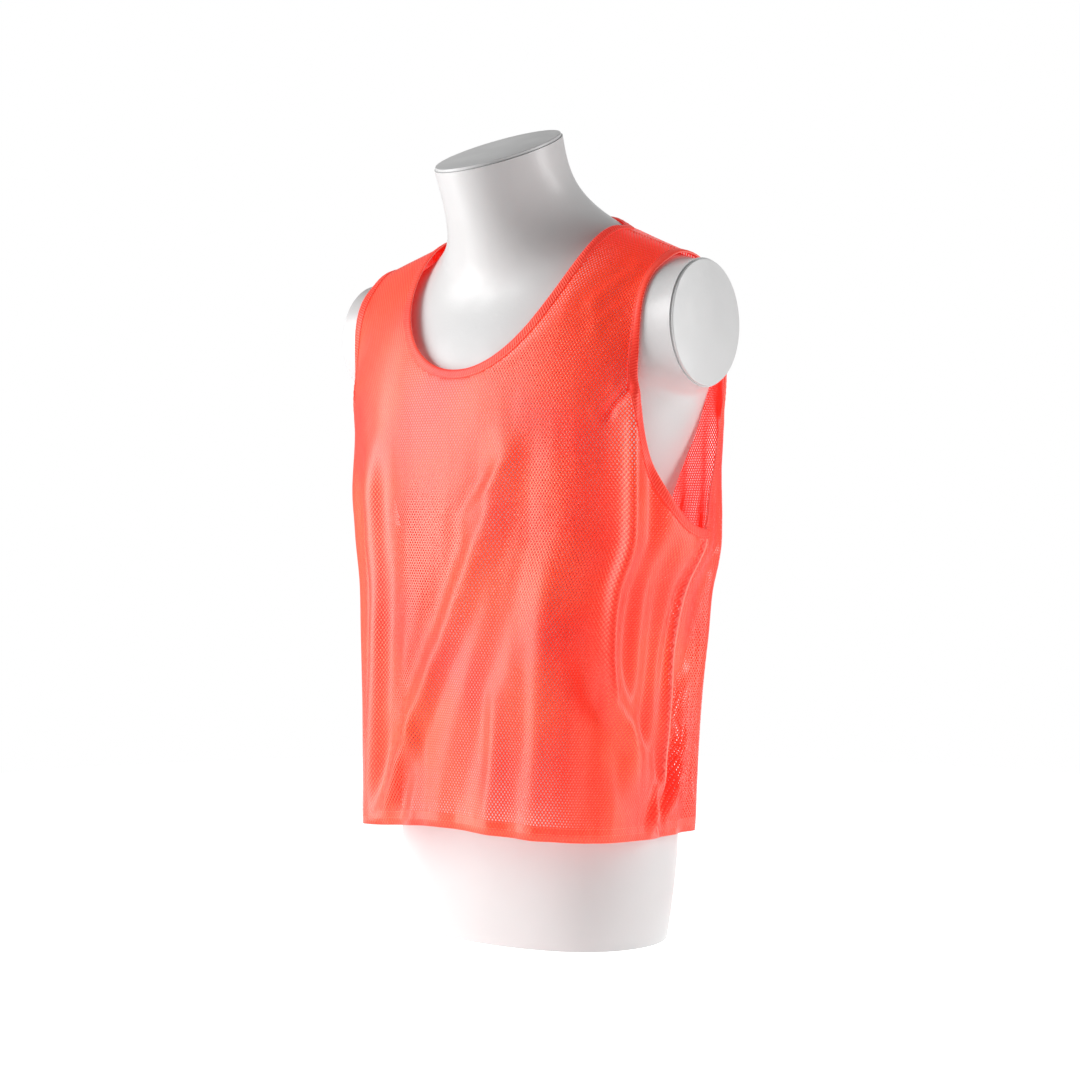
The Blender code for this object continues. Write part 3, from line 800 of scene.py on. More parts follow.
@dataclass(frozen=True)
class PaleFloor:
    """Plain pale backdrop paper.

    Attributes:
        colour: The paper.
        shaded_paper: The same paper a little darker, as faint painted shade in patches of noise.
        glow: How much light the paper gives off, so that it stays as pale as the room.
    """

    colour: Colour = (0.93, 0.93, 0.93, 1.0)
    shaded_paper: Colour = (0.91605, 0.91605, 0.91605, 1.0)
    glow: float = 0.72

    def material(self) -> bpy.types.Material:
        """Make the material and return it."""
        material, graph, shader = new_material("pale_paper")
        # faint painted shade: the paper a little darker in patches of noise
        painted_shade_share = graph.noise(graph.place(), 60.0, 2.0)
        graph.put(shader.inputs["Base Color"], graph.mix(painted_shade_share, self.colour, self.shaded_paper))
        set_all_over(
            shader,
            {
                "Roughness": 0.9,
                "Specular IOR Level": 0.1,
                "Emission Color": self.colour,
                "Emission Strength": self.glow,
            },
        )
        return material


# ------------------------------------------------------------------ the form
@dataclass(frozen=True)
class FormRing:
    """A ring of the form's cage, half_width wide at y_side.

    It reaches y_front and y_back, and its height runs from z_side to z_front and
    z_back. Power 2 is an ellipse, more is squarer.
    """

    z_front: float
    z_side: float
    z_back: float
    half_width: float
    y_front: float
    y_side: float
    y_back: float
    power: float


@dataclass
class TorsoForm:
    """The smooth limbless torso that the vest rests on, with its flat plates.

    Attributes:
        rings: The cage, from the base to the cut of the neck.
        columns: How many corners go round a ring.
        shoulder_ring: The ring that the stumps' windows start from.
        shoulder_x: Plane of each shoulder's flat end.
        shoulder_y: Middle of the flat end, front to back.
        shoulder_z: Middle of the flat end, in height.
        shoulder_depth: Half the flat end's size, front to back.
        shoulder_height: Half the flat end's size, in height.
        plate_thickness: Thickness of the plates on the flat ends.
        plate_gap: The joint behind a plate.
        plate_inset: How far a plate stays inside the flat end's rim.
        plate_edge: Width of the rounded edge of a plate.
        plate_sides: How many sides go round a plate.
        rough_step: How far a new ring is extruded before it is put in its place.
        smoothing: Levels of rounding.
    """

    rings: list[FormRing] = field(
        default_factory=lambda: [
            FormRing(0.000, 0.000, 0.000, 0.148, -0.092, 0.006, 0.104, 2.3),
            FormRing(0.110, 0.110, 0.110, 0.164, -0.100, 0.006, 0.122, 2.3),
            FormRing(0.225, 0.225, 0.225, 0.150, -0.100, 0.004, 0.104, 2.3),
            FormRing(0.330, 0.330, 0.330, 0.138, -0.098, 0.000, 0.092, 2.3),
            FormRing(0.440, 0.440, 0.440, 0.146, -0.113, -0.002, 0.098, 2.4),
            FormRing(0.525, 0.520, 0.525, 0.181, -0.123, 0.002, 0.131, 2.5),
            FormRing(0.572, 0.556, 0.580, 0.187, -0.116, 0.004, 0.136, 2.6),
            FormRing(0.617, 0.621, 0.640, 0.188, -0.099, 0.002, 0.122, 2.7),
            FormRing(0.652, 0.690, 0.702, 0.186, -0.084, 0.008, 0.100, 2.5),
            FormRing(0.676, 0.729, 0.744, 0.098, -0.081, 0.002, 0.062, 2.0),
            FormRing(0.722, 0.766, 0.786, 0.063, -0.100, -0.037, 0.026, 2.0),
            FormRing(0.780, 0.8085, 0.837, 0.064, -0.124, -0.055, 0.014, 2.0),
        ]
    )
    columns: int = 12
    shoulder_ring: int = 6
    shoulder_x: float = 0.221
    shoulder_y: float = -0.001
    shoulder_z: float = 0.625
    shoulder_depth: float = 0.058
    shoulder_height: float = 0.064
    plate_thickness: float = 0.003
    plate_gap: float = 0.0003
    plate_inset: float = 0.0015
    plate_edge: float = 0.0009
    plate_sides: int = 96
    rough_step: float = 0.05
    smoothing: int = 4

    def corner(self, ring: FormRing, column: int) -> Vector:
        """Find a corner of the cage.

        Args:
            ring: The corner's ring.
            column: The corner's number; 0 is at the wearer's left.

        Returns:
            The corner's place.
        """
        turn = 2.0 * math.pi * column / self.columns
        out, ahead = (
            math.copysign(abs(value) ** (2.0 / ring.power), value)
            for value in (math.cos(turn), math.sin(turn))
        )
        y_end, z_end = (
            (ring.y_back, ring.z_back) if ahead > 0.0 else (ring.y_front, ring.z_front)
        )
        spread = cage_spread(self.columns)
        return Vector(
            (
                spread * ring.half_width * out,
                ring.y_side + spread * abs(ahead) * (y_end - ring.y_side),
                ring.z_side + spread * abs(ahead) * (z_end - ring.z_side),
            )
        )

    def extrude_rings(self) -> bpy.types.Object:
        """Draw the base ring and extrude it up the body, ring by ring.

        Returns:
            The open cage, with the corner numbers of each ring in order.
        """
        deselect_all()
        radius = self.rings[0].half_width
        bpy.ops.mesh.primitive_circle_add(vertices=self.columns, radius=radius)
        cage = bpy.context.object
        cage.name = "torso_form_gloss"
        bpy.ops.object.mode_set(mode="EDIT")
        bpy.ops.mesh.select_all(action="SELECT")
        for _ring in self.rings[1:]:
            bpy.ops.mesh.extrude_region_move(
                TRANSFORM_OT_translate={"value": (0.0, 0.0, self.rough_step)}
            )
        bpy.ops.object.mode_set(mode="OBJECT")
        verts = cage.data.vertices
        levels = sorted({round(vert.co.z, 5) for vert in verts})
        for vert in verts:
            ring = self.rings[levels.index(round(vert.co.z, 5))]
            turn = math.atan2(vert.co.y, vert.co.x)
            column = round(turn * self.columns / (2.0 * math.pi)) % self.columns
            vert.co = self.corner(ring, column)
        return cage

    def near_corner(self, mesh: bmesh.types.BMesh, place: Vector) -> bmesh.types.BMVert:
        """Find the cage's corner nearest to a place."""
        return min(mesh.verts, key=lambda vert: (vert.co - place).length_squared)

    def grow_stump(self, cage: bpy.types.Object, out: float) -> None:
        """Extrude the four faces of a shoulder's window into a stump with a flat end.

        Args:
            cage: The cage.
            out: 1 for the wearer's left, -1 for the right.
        """
        start = 0 if out > 0.0 else self.columns // 2
        make_active(cage)
        bpy.ops.object.mode_set(mode="EDIT")
        bpy.ops.mesh.select_mode(type="FACE")
        bpy.ops.mesh.select_all(action="DESELECT")
        mesh = bmesh.from_edit_mesh(cage.data)
        grid = [
            [
                self.near_corner(
                    mesh, self.corner(self.rings[self.shoulder_ring + row], start + step)
                )
                for step in (-1, 0, 1)
            ]
            for row in (0, 1, 2)
        ]
        window = {vert for line in grid for vert in line}
        for face in mesh.faces:
            face.select_set(all(vert in window for vert in face.verts))
        bmesh.update_edit_mesh(cage.data)
        bpy.ops.mesh.extrude_region_move(
            TRANSFORM_OT_translate={"value": (out * self.rough_step, 0.0, 0.0)}
        )
        mesh = bmesh.from_edit_mesh(cage.data)
        grown = [vert for vert in mesh.verts if vert.select]
        middle = sum((vert.co for vert in grown), Vector()) / len(grown)
        centre = min(grown, key=lambda vert: (vert.co - middle).length)
        rim = sorted(
            (vert for vert in grown if vert is not centre),
            key=lambda vert: math.atan2(vert.co.z - centre.co.z, vert.co.y - centre.co.y),
        )
        spread = cage_spread(len(rim))
        step = 2.0 * math.pi / len(rim)
        first = math.atan2(rim[0].co.z - centre.co.z, rim[0].co.y - centre.co.y)
        for number, vert in enumerate(rim):
            turn = (round(first / step) + number) * step
            vert.co = (
                out * self.shoulder_x,
                self.shoulder_y + spread * self.shoulder_depth * math.cos(turn),
                self.shoulder_z + spread * self.shoulder_height * math.sin(turn),
            )
        centre.co = (out * self.shoulder_x, self.shoulder_y, self.shoulder_z)
        self.crease_rim(mesh, set(rim))
        bmesh.update_edit_mesh(cage.data)
        bpy.ops.object.mode_set(mode="OBJECT")

    def crease_rim(self, mesh: bmesh.types.BMesh, rim: set[bmesh.types.BMVert]) -> None:
        """Mark the edges of a flat end's rim as sharp for the rounding."""
        layer = mesh.edges.layers.float.get("crease_edge")
        if layer is None:
            layer = mesh.edges.layers.float.new("crease_edge")
        for edge in mesh.edges:
            if all(vert in rim for vert in edge.verts):
                edge[layer] = 1.0

    def close_ends(self, cage: bpy.types.Object) -> None:
        """Fill the base and the neck's cut with four-sided faces round their middles."""
        work = bmesh.new()
        work.from_mesh(cage.data)
        for ring, order in ((self.rings[0], -1), (self.rings[-1], 1)):
            rim = [
                self.near_corner(work, self.corner(ring, column))
                for column in range(self.columns)
            ]
            self.crease_rim(work, set(rim))
            centre = work.verts.new(sum((vert.co for vert in rim), Vector()) / len(rim))
            rim = rim[::order]
            for column in range(0, self.columns, 2):
                after = rim[(column + 2) % self.columns]
                work.faces.new((centre, rim[column], rim[column + 1], after))
        bmesh.ops.recalc_face_normals(work, faces=work.faces)
        work.to_mesh(cage.data)
        work.free()

    def model(self) -> bpy.types.Object:
        """Model the torso.

        Returns:
            The rounded torso.
        """
        cage = self.extrude_rings()
        self.grow_stump(cage, 1.0)
        self.grow_stump(cage, -1.0)
        self.close_ends(cage)
        smoother = cage.modifiers.new("round", "SUBSURF")
        smoother.levels = self.smoothing
        smoother.render_levels = self.smoothing
        apply_modifiers(cage)
        shade_smooth(cage, 40.0)
        settle(cage)
        return cage

    def plate(
        self, name: str, half_sizes: tuple[float, float], place: Matrix
    ) -> bpy.types.Object:
        """Model a flat plate with a rounded edge.

        Args:
            name: The plate's name.
            half_sizes: Half its width and half its length.
            place: Where its underside's middle lies and how it is turned.

        Returns:
            The finished plate.
        """
        deselect_all()
        bpy.ops.mesh.primitive_cylinder_add(
            vertices=self.plate_sides, radius=1.0, depth=self.plate_thickness
        )
        plate = bpy.context.object
        plate.name = name
        bpy.ops.object.mode_set(mode="EDIT")
        bpy.ops.mesh.select_all(action="SELECT")
        wide, long = (size - self.plate_inset for size in half_sizes)
        bpy.ops.transform.resize(value=(wide, long, 1.0))
        bpy.ops.mesh.select_mode(type="FACE")
        bpy.ops.mesh.select_all(action="DESELECT")
        mesh = bmesh.from_edit_mesh(plate.data)
        for face in mesh.faces:
            face.select_set(face.normal.z > 0.9)
        bmesh.update_edit_mesh(plate.data)
        bpy.ops.mesh.bevel(offset=self.plate_edge, segments=3, affect="EDGES")
        bpy.ops.object.mode_set(mode="OBJECT")
        lift = Matrix.Translation((0.0, 0.0, self.plate_gap + self.plate_thickness / 2))
        plate.matrix_world = place @ lift
        settle(plate)
        shade_smooth(plate, 40.0)
        return plate

    def plates(self) -> dict[str, bpy.types.Object]:
        """Model the plates on both shoulders and on the neck.

        Returns:
            For each solid's name, the plate that stands for it.
        """
        made = {}
        for name, out in (("shoulder_cap_left", 1.0), ("shoulder_cap_right", -1.0)):
            middle = Vector((out * self.shoulder_x, self.shoulder_y, self.shoulder_z))
            turn = Matrix.Rotation(math.radians(90.0 * out), 4, "Y")
            sizes = (self.shoulder_height, self.shoulder_depth)
            made[name] = self.plate(
                name + "_plate", sizes, Matrix.Translation(middle) @ turn
            )
        cut = self.rings[-1]
        rise, run = cut.z_back - cut.z_side, cut.y_back - cut.y_side
        middle = Vector((0.0, cut.y_side, cut.z_side))
        turn = Matrix.Rotation(math.atan2(rise, run), 4, "X")
        sizes = (cut.half_width, math.hypot(rise, run))
        made["neck_cap"] = self.plate(
            "neck_cap_plate", sizes, Matrix.Translation(middle) @ turn
        )
        return made


# ------------------------------------------------------------------ the drape
@dataclass(frozen=True)
class Section:
    """A level section through the hanging cloth.

    The front's edge is front_half from the middle and the back's is back_half, both
    at y_seam; the panels reach y_front and y_back.
    """

    z: float
    front_half: float
    back_half: float
    y_seam: float
    y_front: float
    y_back: float
    front_power: float
    back_power: float


@dataclass(frozen=True)
class Cut:
    """The cut of one panel's neckline and armhole.

    The roll says how squarely the cloth turns over the shoulder, at the neck and at
    the armhole; 2 is an ellipse.
    """

    neck_half: float
    neck_drop: float
    neck_power: float
    arm_in: float
    arm_up: float
    arm_power: float
    roll_inner: float
    roll_outer: float


@dataclass(frozen=True)
class Fold:
    """A soft fold through three places, half_width to each side of its crest.

    It fades out over the length fade at both ends. foot, middle and head are measured
    round the body from the middle of the front, past the wearer's left.
    """

    foot: float
    foot_up: float
    middle: float
    middle_up: float
    head: float
    head_up: float
    rise: float
    half_width: float
    fade: float


@dataclass(frozen=True)
class Ripple:
    """The unevenness of loose cloth at one scale.

    Attributes:
        turns: How closely the ripples follow each other round the body.
        climbs: How closely they follow each other up the cloth, in a metre.
        rise: How far they lift the cloth.
    """

    turns: float
    climbs: float
    rise: float


@dataclass(frozen=True)
class HemLift:
    """How far the hem lies above its lowest line at a distance round the body."""

    around: float
    lift: float


@dataclass(frozen=True)
class SeamEnds:
    """Where a shoulder seam runs: from inner at the neck to outer at the armhole."""

    inner: tuple[float, float, float]
    outer: tuple[float, float, float]


@dataclass
class Drape:
    """The worn cloth: every place on it, clear of the form that it lies against.

    Attributes:
        form: The form's surface.
        panel_half: Width of half a panel, flat.
        hem_depth: Depth of the turned-up hem.
        clearance: From the form to the middle of the cloth.
        softness: How gradually the cloth leaves the form.
        chest_up: Where the cloth stops hanging and begins to turn over the chest.
        shoulder_up: Where the shoulder seam runs.
        hem_lift_fade: How far up the cloth the hem's unevenness reaches.
        binding_width: Finished width of the bindings.
        armhole_foot: Where the armhole begins on the side seam.
        tight_from: Where the cloth begins to lie taut, with few ripples.
        tight_over: How far it takes to lie taut.
        tight_share: How much of the ripples is gone there.
        pucker_rise: How far the hem's stitching puckers the cloth.
        pucker_reach: How far the puckers run from the hem's fold line.
        pucker_waves: The waves, in radians a metre, that make the puckers uneven.
        slope_step: How far apart the cloth is read for its slope, before its folds.
        fold_step: How far apart it is read with its folds.
        seam_reach: How near a seam both panels' slopes are shared.
        sections: The level sections of the hanging cloth.
        shoulder_seams: The seam of the wearer's left (1) and right (-1) shoulder.
        hem_lifts: How far the front's hem is lifted.
        cuts: The cut of each panel.
        folds: The large folds, as the solids have them.
        creases: The finer folds, tucks and puckers.
        ripples: The unevenness of the loose cloth.
    """

    form: BVHTree
    panel_half: float = 0.280
    hem_depth: float = 0.015
    clearance: float = 0.0020
    softness: float = 0.003
    chest_up: float = 0.417
    shoulder_up: float = 0.667
    hem_lift_fade: float = 0.250
    binding_width: float = 0.0095
    armhole_foot: float = 0.308
    tight_from: float = 0.36
    tight_over: float = 0.12
    tight_share: float = 0.75
    pucker_rise: float = 0.00045
    pucker_reach: float = 0.011
    pucker_waves: tuple[float, float] = (640.0, 173.0)
    slope_step: float = 1e-4
    fold_step: float = 4e-4
    seam_reach: float = 3e-4
    sections: list[Section] = field(
        default_factory=lambda: [
            Section(0.113, 0.171, 0.171, -0.005, -0.151, 0.118, 2.9, 2.6),
            Section(0.200, 0.172, 0.172, -0.003, -0.146, 0.126, 2.9, 2.7),
            Section(0.300, 0.178, 0.178, 0.002, -0.141, 0.135, 2.9, 2.8),
            Section(0.360, 0.188, 0.188, 0.010, -0.135, 0.135, 2.85, 2.4),
            Section(0.416, 0.207, 0.203, 0.024, -0.130, 0.130, 2.75, 2.2),
            Section(0.470, 0.209, 0.197, 0.022, -0.128, 0.138, 2.9, 2.6),
            Section(0.530, 0.209, 0.198, 0.020, -0.126, 0.140, 3.0, 2.8),
        ]
    )
    shoulder_seams: dict[float, SeamEnds] = field(
        default_factory=lambda: {
            1.0: SeamEnds((0.116, -0.004, 0.728), (0.186, 0.014, 0.697)),
            -1.0: SeamEnds((0.104, -0.004, 0.728), (0.211, 0.008, 0.703)),
        }
    )
    hem_lifts: list[HemLift] = field(
        default_factory=lambda: [
            HemLift(-0.28, -0.002),
            HemLift(-0.10, 0.004),
            HemLift(0.00, 0.011),
            HemLift(0.09, 0.008),
            HemLift(0.18, 0.003),
            HemLift(0.28, 0.000),
        ]
    )
    cuts: dict[Side, Cut] = field(
        default_factory=lambda: {
            Side.FRONT: Cut(0.113, 0.198, 2.1, 0.090, 0.190, 2.1, 1.75, 1.80),
            Side.BACK: Cut(0.113, 0.034, 2.6, 0.090, 0.250, 1.2, 2.30, 2.20),
        }
    )
    folds: list[Fold] = field(
        default_factory=lambda: [
            Fold(-0.205, 0.00, -0.198, 0.15, -0.190, 0.33, 0.0060, 0.020, 0.09),
            Fold(-0.114, 0.00, -0.108, 0.20, -0.116, 0.34, 0.0085, 0.017, 0.08),
            Fold(-0.092, 0.00, -0.006, 0.18, 0.060, 0.36, 0.0060, 0.017, 0.07),
            Fold(0.030, 0.02, 0.060, 0.15, 0.090, 0.30, -0.0040, 0.022, 0.08),
            Fold(0.119, 0.00, 0.124, 0.12, 0.122, 0.22, 0.0045, 0.015, 0.07),
            Fold(0.176, 0.04, 0.176, 0.10, 0.168, 0.17, -0.0040, 0.018, 0.06),
            Fold(0.232, 0.09, 0.188, 0.19, 0.187, 0.42, 0.0075, 0.015, 0.06),
            Fold(0.246, 0.12, 0.243, 0.20, 0.232, 0.27, -0.0050, 0.014, 0.05),
            Fold(0.290, 0.03, 0.297, 0.08, 0.300, 0.14, -0.0080, 0.014, 0.05),
            Fold(-0.300, 0.02, -0.292, 0.12, -0.286, 0.24, -0.0070, 0.014, 0.07),
            Fold(0.352, 0.00, 0.345, 0.15, 0.352, 0.30, 0.0070, 0.017, 0.08),
            Fold(0.430, 0.00, 0.440, 0.18, 0.470, 0.36, 0.0045, 0.020, 0.10),
            Fold(0.520, 0.00, 0.525, 0.14, 0.540, 0.26, -0.0050, 0.020, 0.09),
            Fold(0.590, 0.00, 0.600, 0.16, 0.590, 0.33, 0.0055, 0.019, 0.09),
            Fold(0.690, 0.00, 0.680, 0.20, 0.650, 0.38, 0.0065, 0.020, 0.10),
            Fold(0.765, 0.00, 0.770, 0.14, 0.775, 0.28, 0.0070, 0.016, 0.08),
        ]
    )
    creases: list[Fold] = field(
        default_factory=lambda: [
            Fold(0.165, 0.424, 0.173, 0.437, 0.182, 0.449, -0.0050, 0.006, 0.016),
            Fold(0.196, 0.150, 0.186, 0.280, 0.188, 0.425, 0.0040, 0.006, 0.040),
            Fold(0.216, 0.130, 0.205, 0.280, 0.205, 0.400, -0.0036, 0.011, 0.045),
            Fold(0.140, 0.548, 0.155, 0.573, 0.168, 0.596, 0.0016, 0.008, 0.030),
            Fold(0.146, 0.520, 0.160, 0.540, 0.176, 0.556, 0.0013, 0.007, 0.026),
            Fold(-0.150, 0.100, -0.144, 0.220, -0.150, 0.330, 0.0030, 0.009, 0.060),
            Fold(0.280, 0.020, 0.280, 0.150, 0.280, 0.290, 0.0032, 0.005, 0.020),
            Fold(0.270, 0.040, 0.266, 0.130, 0.268, 0.240, -0.0024, 0.007, 0.030),
            Fold(0.262, 0.016, 0.266, 0.032, 0.271, 0.050, 0.0042, 0.006, 0.014),
            Fold(0.276, 0.020, 0.294, 0.048, 0.311, 0.094, -0.0064, 0.009, 0.024),
            Fold(0.292, 0.014, 0.306, 0.038, 0.318, 0.062, 0.0028, 0.007, 0.018),
            Fold(0.224, 0.275, 0.236, 0.258, 0.248, 0.238, -0.0022, 0.006, 0.016),
            Fold(0.068, 0.020, 0.074, 0.070, 0.070, 0.130, 0.0024, 0.011, 0.040),
            Fold(-0.040, 0.010, -0.034, 0.060, -0.046, 0.110, 0.0022, 0.010, 0.036),
            Fold(0.020, 0.320, 0.048, 0.352, 0.072, 0.378, 0.0018, 0.011, 0.034),
            Fold(-0.280, 0.020, -0.280, 0.150, -0.280, 0.290, 0.0030, 0.006, 0.020),
            Fold(-0.262, 0.018, -0.270, 0.036, -0.274, 0.060, 0.0026, 0.006, 0.016),
            Fold(-0.184, 0.430, -0.178, 0.444, -0.172, 0.462, -0.0026, 0.007, 0.020),
            Fold(0.375, 0.300, 0.388, 0.350, 0.394, 0.400, 0.0026, 0.011, 0.040),
            Fold(0.455, 0.020, 0.470, 0.070, 0.466, 0.130, 0.0028, 0.012, 0.044),
            Fold(0.560, 0.560, 0.575, 0.580, 0.600, 0.590, 0.0015, 0.010, 0.030),
            Fold(0.640, 0.010, 0.628, 0.050, 0.634, 0.090, 0.0026, 0.010, 0.032),
            Fold(0.738, 0.320, 0.730, 0.360, 0.722, 0.396, 0.0022, 0.010, 0.036),
        ]
    )
    ripples: list[Ripple] = field(
        default_factory=lambda: [Ripple(4.5, 5.0, 0.0022), Ripple(13.0, 15.0, 0.0007)]
    )

    def section_field(self, name: str, z: np.ndarray) -> np.ndarray:
        """Read one column of the sections at the heights z."""
        rows = [section.z for section in self.sections]
        return smooth_curve(rows, [getattr(row, name) for row in self.sections], z)

    def level_point(self, side: Side, across: np.ndarray, z: np.ndarray) -> np.ndarray:
        """Find the cloth's place on the level section at z, before the folds.

        Args:
            side: The panel.
            across: Distance from the panel's centre line.
            z: Height above the base.

        Returns:
            One place a row.
        """
        half_width = self.section_field(side.value + "_half", z)
        y_seam = self.section_field("y_seam", z)
        reach = self.section_field("y_" + side.value, z) - y_seam
        power = self.section_field(side.value + "_power", z)
        part = np.clip(np.abs(across) / self.panel_half, 0.0, 1.0)
        out, ahead = quarter_round(part, half_width, np.abs(reach), power)
        x = np.sign(across) * half_width * out
        return np.stack((x, y_seam + reach * ahead, z), axis=1)

    def shoulder_point(self, across: np.ndarray) -> np.ndarray:
        """Find where each column ends on the shoulder seam, or in line with it."""
        cut = self.cuts[Side.FRONT]
        strap = self.panel_half - cut.arm_in - cut.neck_half
        part = np.maximum((np.abs(across) - cut.neck_half) / strap, 0.0)
        ends = [self.shoulder_seams[one] for one in np.where(across < 0.0, -1.0, 1.0)]
        inner = np.array([end.inner for end in ends])
        outer = np.array([end.outer for end in ends])
        seam = inner + part[:, None] * (outer - inner)
        seam[:, 0] *= np.sign(across) * np.minimum(np.abs(across) / cut.neck_half, 1.0)
        return seam

    def rest_point(self, side: Side, across: np.ndarray, up: np.ndarray) -> np.ndarray:
        """Find the cloth's place before the folds and before it meets the form.

        Args:
            side: The panel.
            across: Distance from the panel's centre line.
            up: Distance up the cloth from the hem.

        Returns:
            One place a row.
        """
        lift = np.zeros(len(across))
        if side is Side.FRONT:
            places = [row.around for row in self.hem_lifts]
            lift = smooth_curve(places, [row.lift for row in self.hem_lifts], across)
        lift = lift * (1.0 - ease(up / self.hem_lift_fade))
        hem_z, chest_z = self.sections[0].z, self.sections[-1].z
        low = self.level_point(side, across, hem_z + lift + np.minimum(up, self.chest_up))
        end = self.shoulder_point(across)
        cut = self.cuts[side]
        outer = self.panel_half - cut.arm_in
        sideways = ease((np.abs(across) - cut.neck_half) / (outer - cut.neck_half))
        roll = cut.roll_inner + sideways * (cut.roll_outer - cut.roll_inner)
        part = np.clip((up - self.chest_up) / (self.shoulder_up - self.chest_up), 0.0, 1.0)
        rise = end[:, 2] - chest_z
        depth = end[:, 1] - low[:, 1]
        climb, behind = quarter_round(part, rise, np.abs(depth), roll)
        high = low.copy()
        high[:, 0] = low[:, 0] + (end[:, 0] - low[:, 0]) * ease(part)
        high[:, 1] = end[:, 1] - depth * behind
        high[:, 2] = chest_z + rise * climb
        return np.where((up > self.chest_up)[:, None], high, low)

    def around(self, side: Side, across: np.ndarray) -> np.ndarray:
        """Turn a panel's across into the distance round the body."""
        if side is Side.FRONT:
            return across
        return np.where(across >= 0.0, 1.0, -1.0) * 2.0 * self.panel_half - across

    def fold_height(self, side: Side, across: np.ndarray, up: np.ndarray) -> np.ndarray:
        """Work out how far folds, creases and slack lift the cloth.

        Args:
            side: The panel.
            across: Distance from the panel's centre line.
            up: Distance up the cloth from the hem.

        Returns:
            The lift, outwards, in metres.
        """
        around = self.around(side, across)
        girth = 4.0 * self.panel_half
        total = np.zeros(len(across))
        for fold in self.folds + self.creases:
            ups = [fold.foot_up, fold.middle_up, fold.head_up]
            crest = smooth_curve(ups, [fold.foot, fold.middle, fold.head], up)
            away = (around - crest + girth / 2.0) % girth - girth / 2.0
            share = away / fold.half_width
            shape = (1.0 - share * share) * np.exp(-share * share / 2.0)
            window = ease((up - fold.foot_up) / fold.fade + 1.0)
            window = window * ease((fold.head_up - up) / fold.fade + 1.0)
            total += fold.rise * shape * window
        return total + self.slack(around, up)

    def slack(self, around: np.ndarray, up: np.ndarray) -> np.ndarray:
        """Work out the unevenness of loose cloth, and the puckers of the hem.

        Args:
            around: Distance round the body.
            up: Distance up the cloth from the hem.

        Returns:
            The lift, outwards, in metres.
        """
        loose = 1.0 - self.tight_share * ease((up - self.tight_from) / self.tight_over)
        turn = 2.0 * math.pi * around / (4.0 * self.panel_half)
        made = np.zeros(len(around))
        for ripple in self.ripples:
            spots = np.stack(
                (
                    np.cos(turn) * ripple.turns,
                    np.sin(turn) * ripple.turns,
                    up * ripple.climbs,
                ),
                axis=1,
            )
            made += ripple.rise * np.array([noise.noise(Vector(spot)) for spot in spots])
        hem = np.exp(-(((up - self.hem_depth) / self.pucker_reach) ** 2))
        quick, slow = self.pucker_waves
        pucker = np.sin(around * quick) * np.sin(around * slow + 1.0)
        return made * loose + self.pucker_rise * hem * pucker

    def slope(
        self, side: Side, across: np.ndarray, up: np.ndarray, folded: bool
    ) -> np.ndarray:
        """Work out one panel's outward normal from its slope.

        Args:
            side: The panel.
            across: Distance from the panel's centre line.
            up: Distance up the cloth from the hem.
            folded: Whether the folds and the form count.

        Returns:
            One unit normal a row.
        """
        step = self.fold_step if folded else self.slope_step
        place = self.place if folded else self.rest_point
        wide = place(side, across + step, up) - place(side, across - step, up)
        high = place(side, across, up + step) - place(side, across, up - step)
        normal = unit(np.cross(wide, high))
        return -normal if side is Side.BACK else normal

    def normal(
        self, side: Side, across: np.ndarray, up: np.ndarray, folded: bool
    ) -> np.ndarray:
        """Work out the cloth's outward normal, shared by both panels at a seam.

        Args:
            side: The panel.
            across: Distance from the panel's centre line.
            up: Distance up the cloth from the hem.
            folded: Whether the folds and the form count.

        Returns:
            One unit normal a row.
        """
        across = np.clip(across, -self.panel_half, self.panel_half)
        up = np.clip(up, 0.0, self.shoulder_up)
        normal = self.slope(side, across, up, folded)
        at_side = np.abs(across) > self.panel_half - self.seam_reach
        seam = (up > self.shoulder_up - self.seam_reach) | at_side
        if folded and seam.any():
            other = Side.BACK if side is Side.FRONT else Side.FRONT
            second = self.slope(other, across[seam], up[seam], folded)
            normal[seam] = unit(normal[seam] + second)
        return normal

    def place(self, side: Side, across: np.ndarray, up: np.ndarray) -> np.ndarray:
        """Find the middle of the cloth, folded and clear of the form.

        Args:
            side: The panel.
            across: Distance from the panel's centre line.
            up: Distance up the cloth from the hem.

        Returns:
            One place a row.
        """
        rest = self.rest_point(side, across, up)
        lift = self.fold_height(side, across, up)
        rest = rest + self.normal(side, across, up, folded=False) * lift[:, None]
        return np.array([self.clear_of_form(Vector(point)) for point in rest])

    def clear_of_form(self, point: Vector) -> Vector:
        """Ease a place outwards where it would come too near the form."""
        nearest, facing, _face, away = self.form.find_nearest(point)
        outwards = point - nearest
        if outwards.dot(facing) < 0.0:
            away = -away
        if abs(away) > 1e-5:
            facing = (outwards / away).normalized()
        spare = (away - self.clearance) / self.softness
        if spare > 20.0:
            return point
        eased = self.clearance + self.softness * math.log1p(math.exp(max(spare, -20.0)))
        return point + facing * (eased - away)


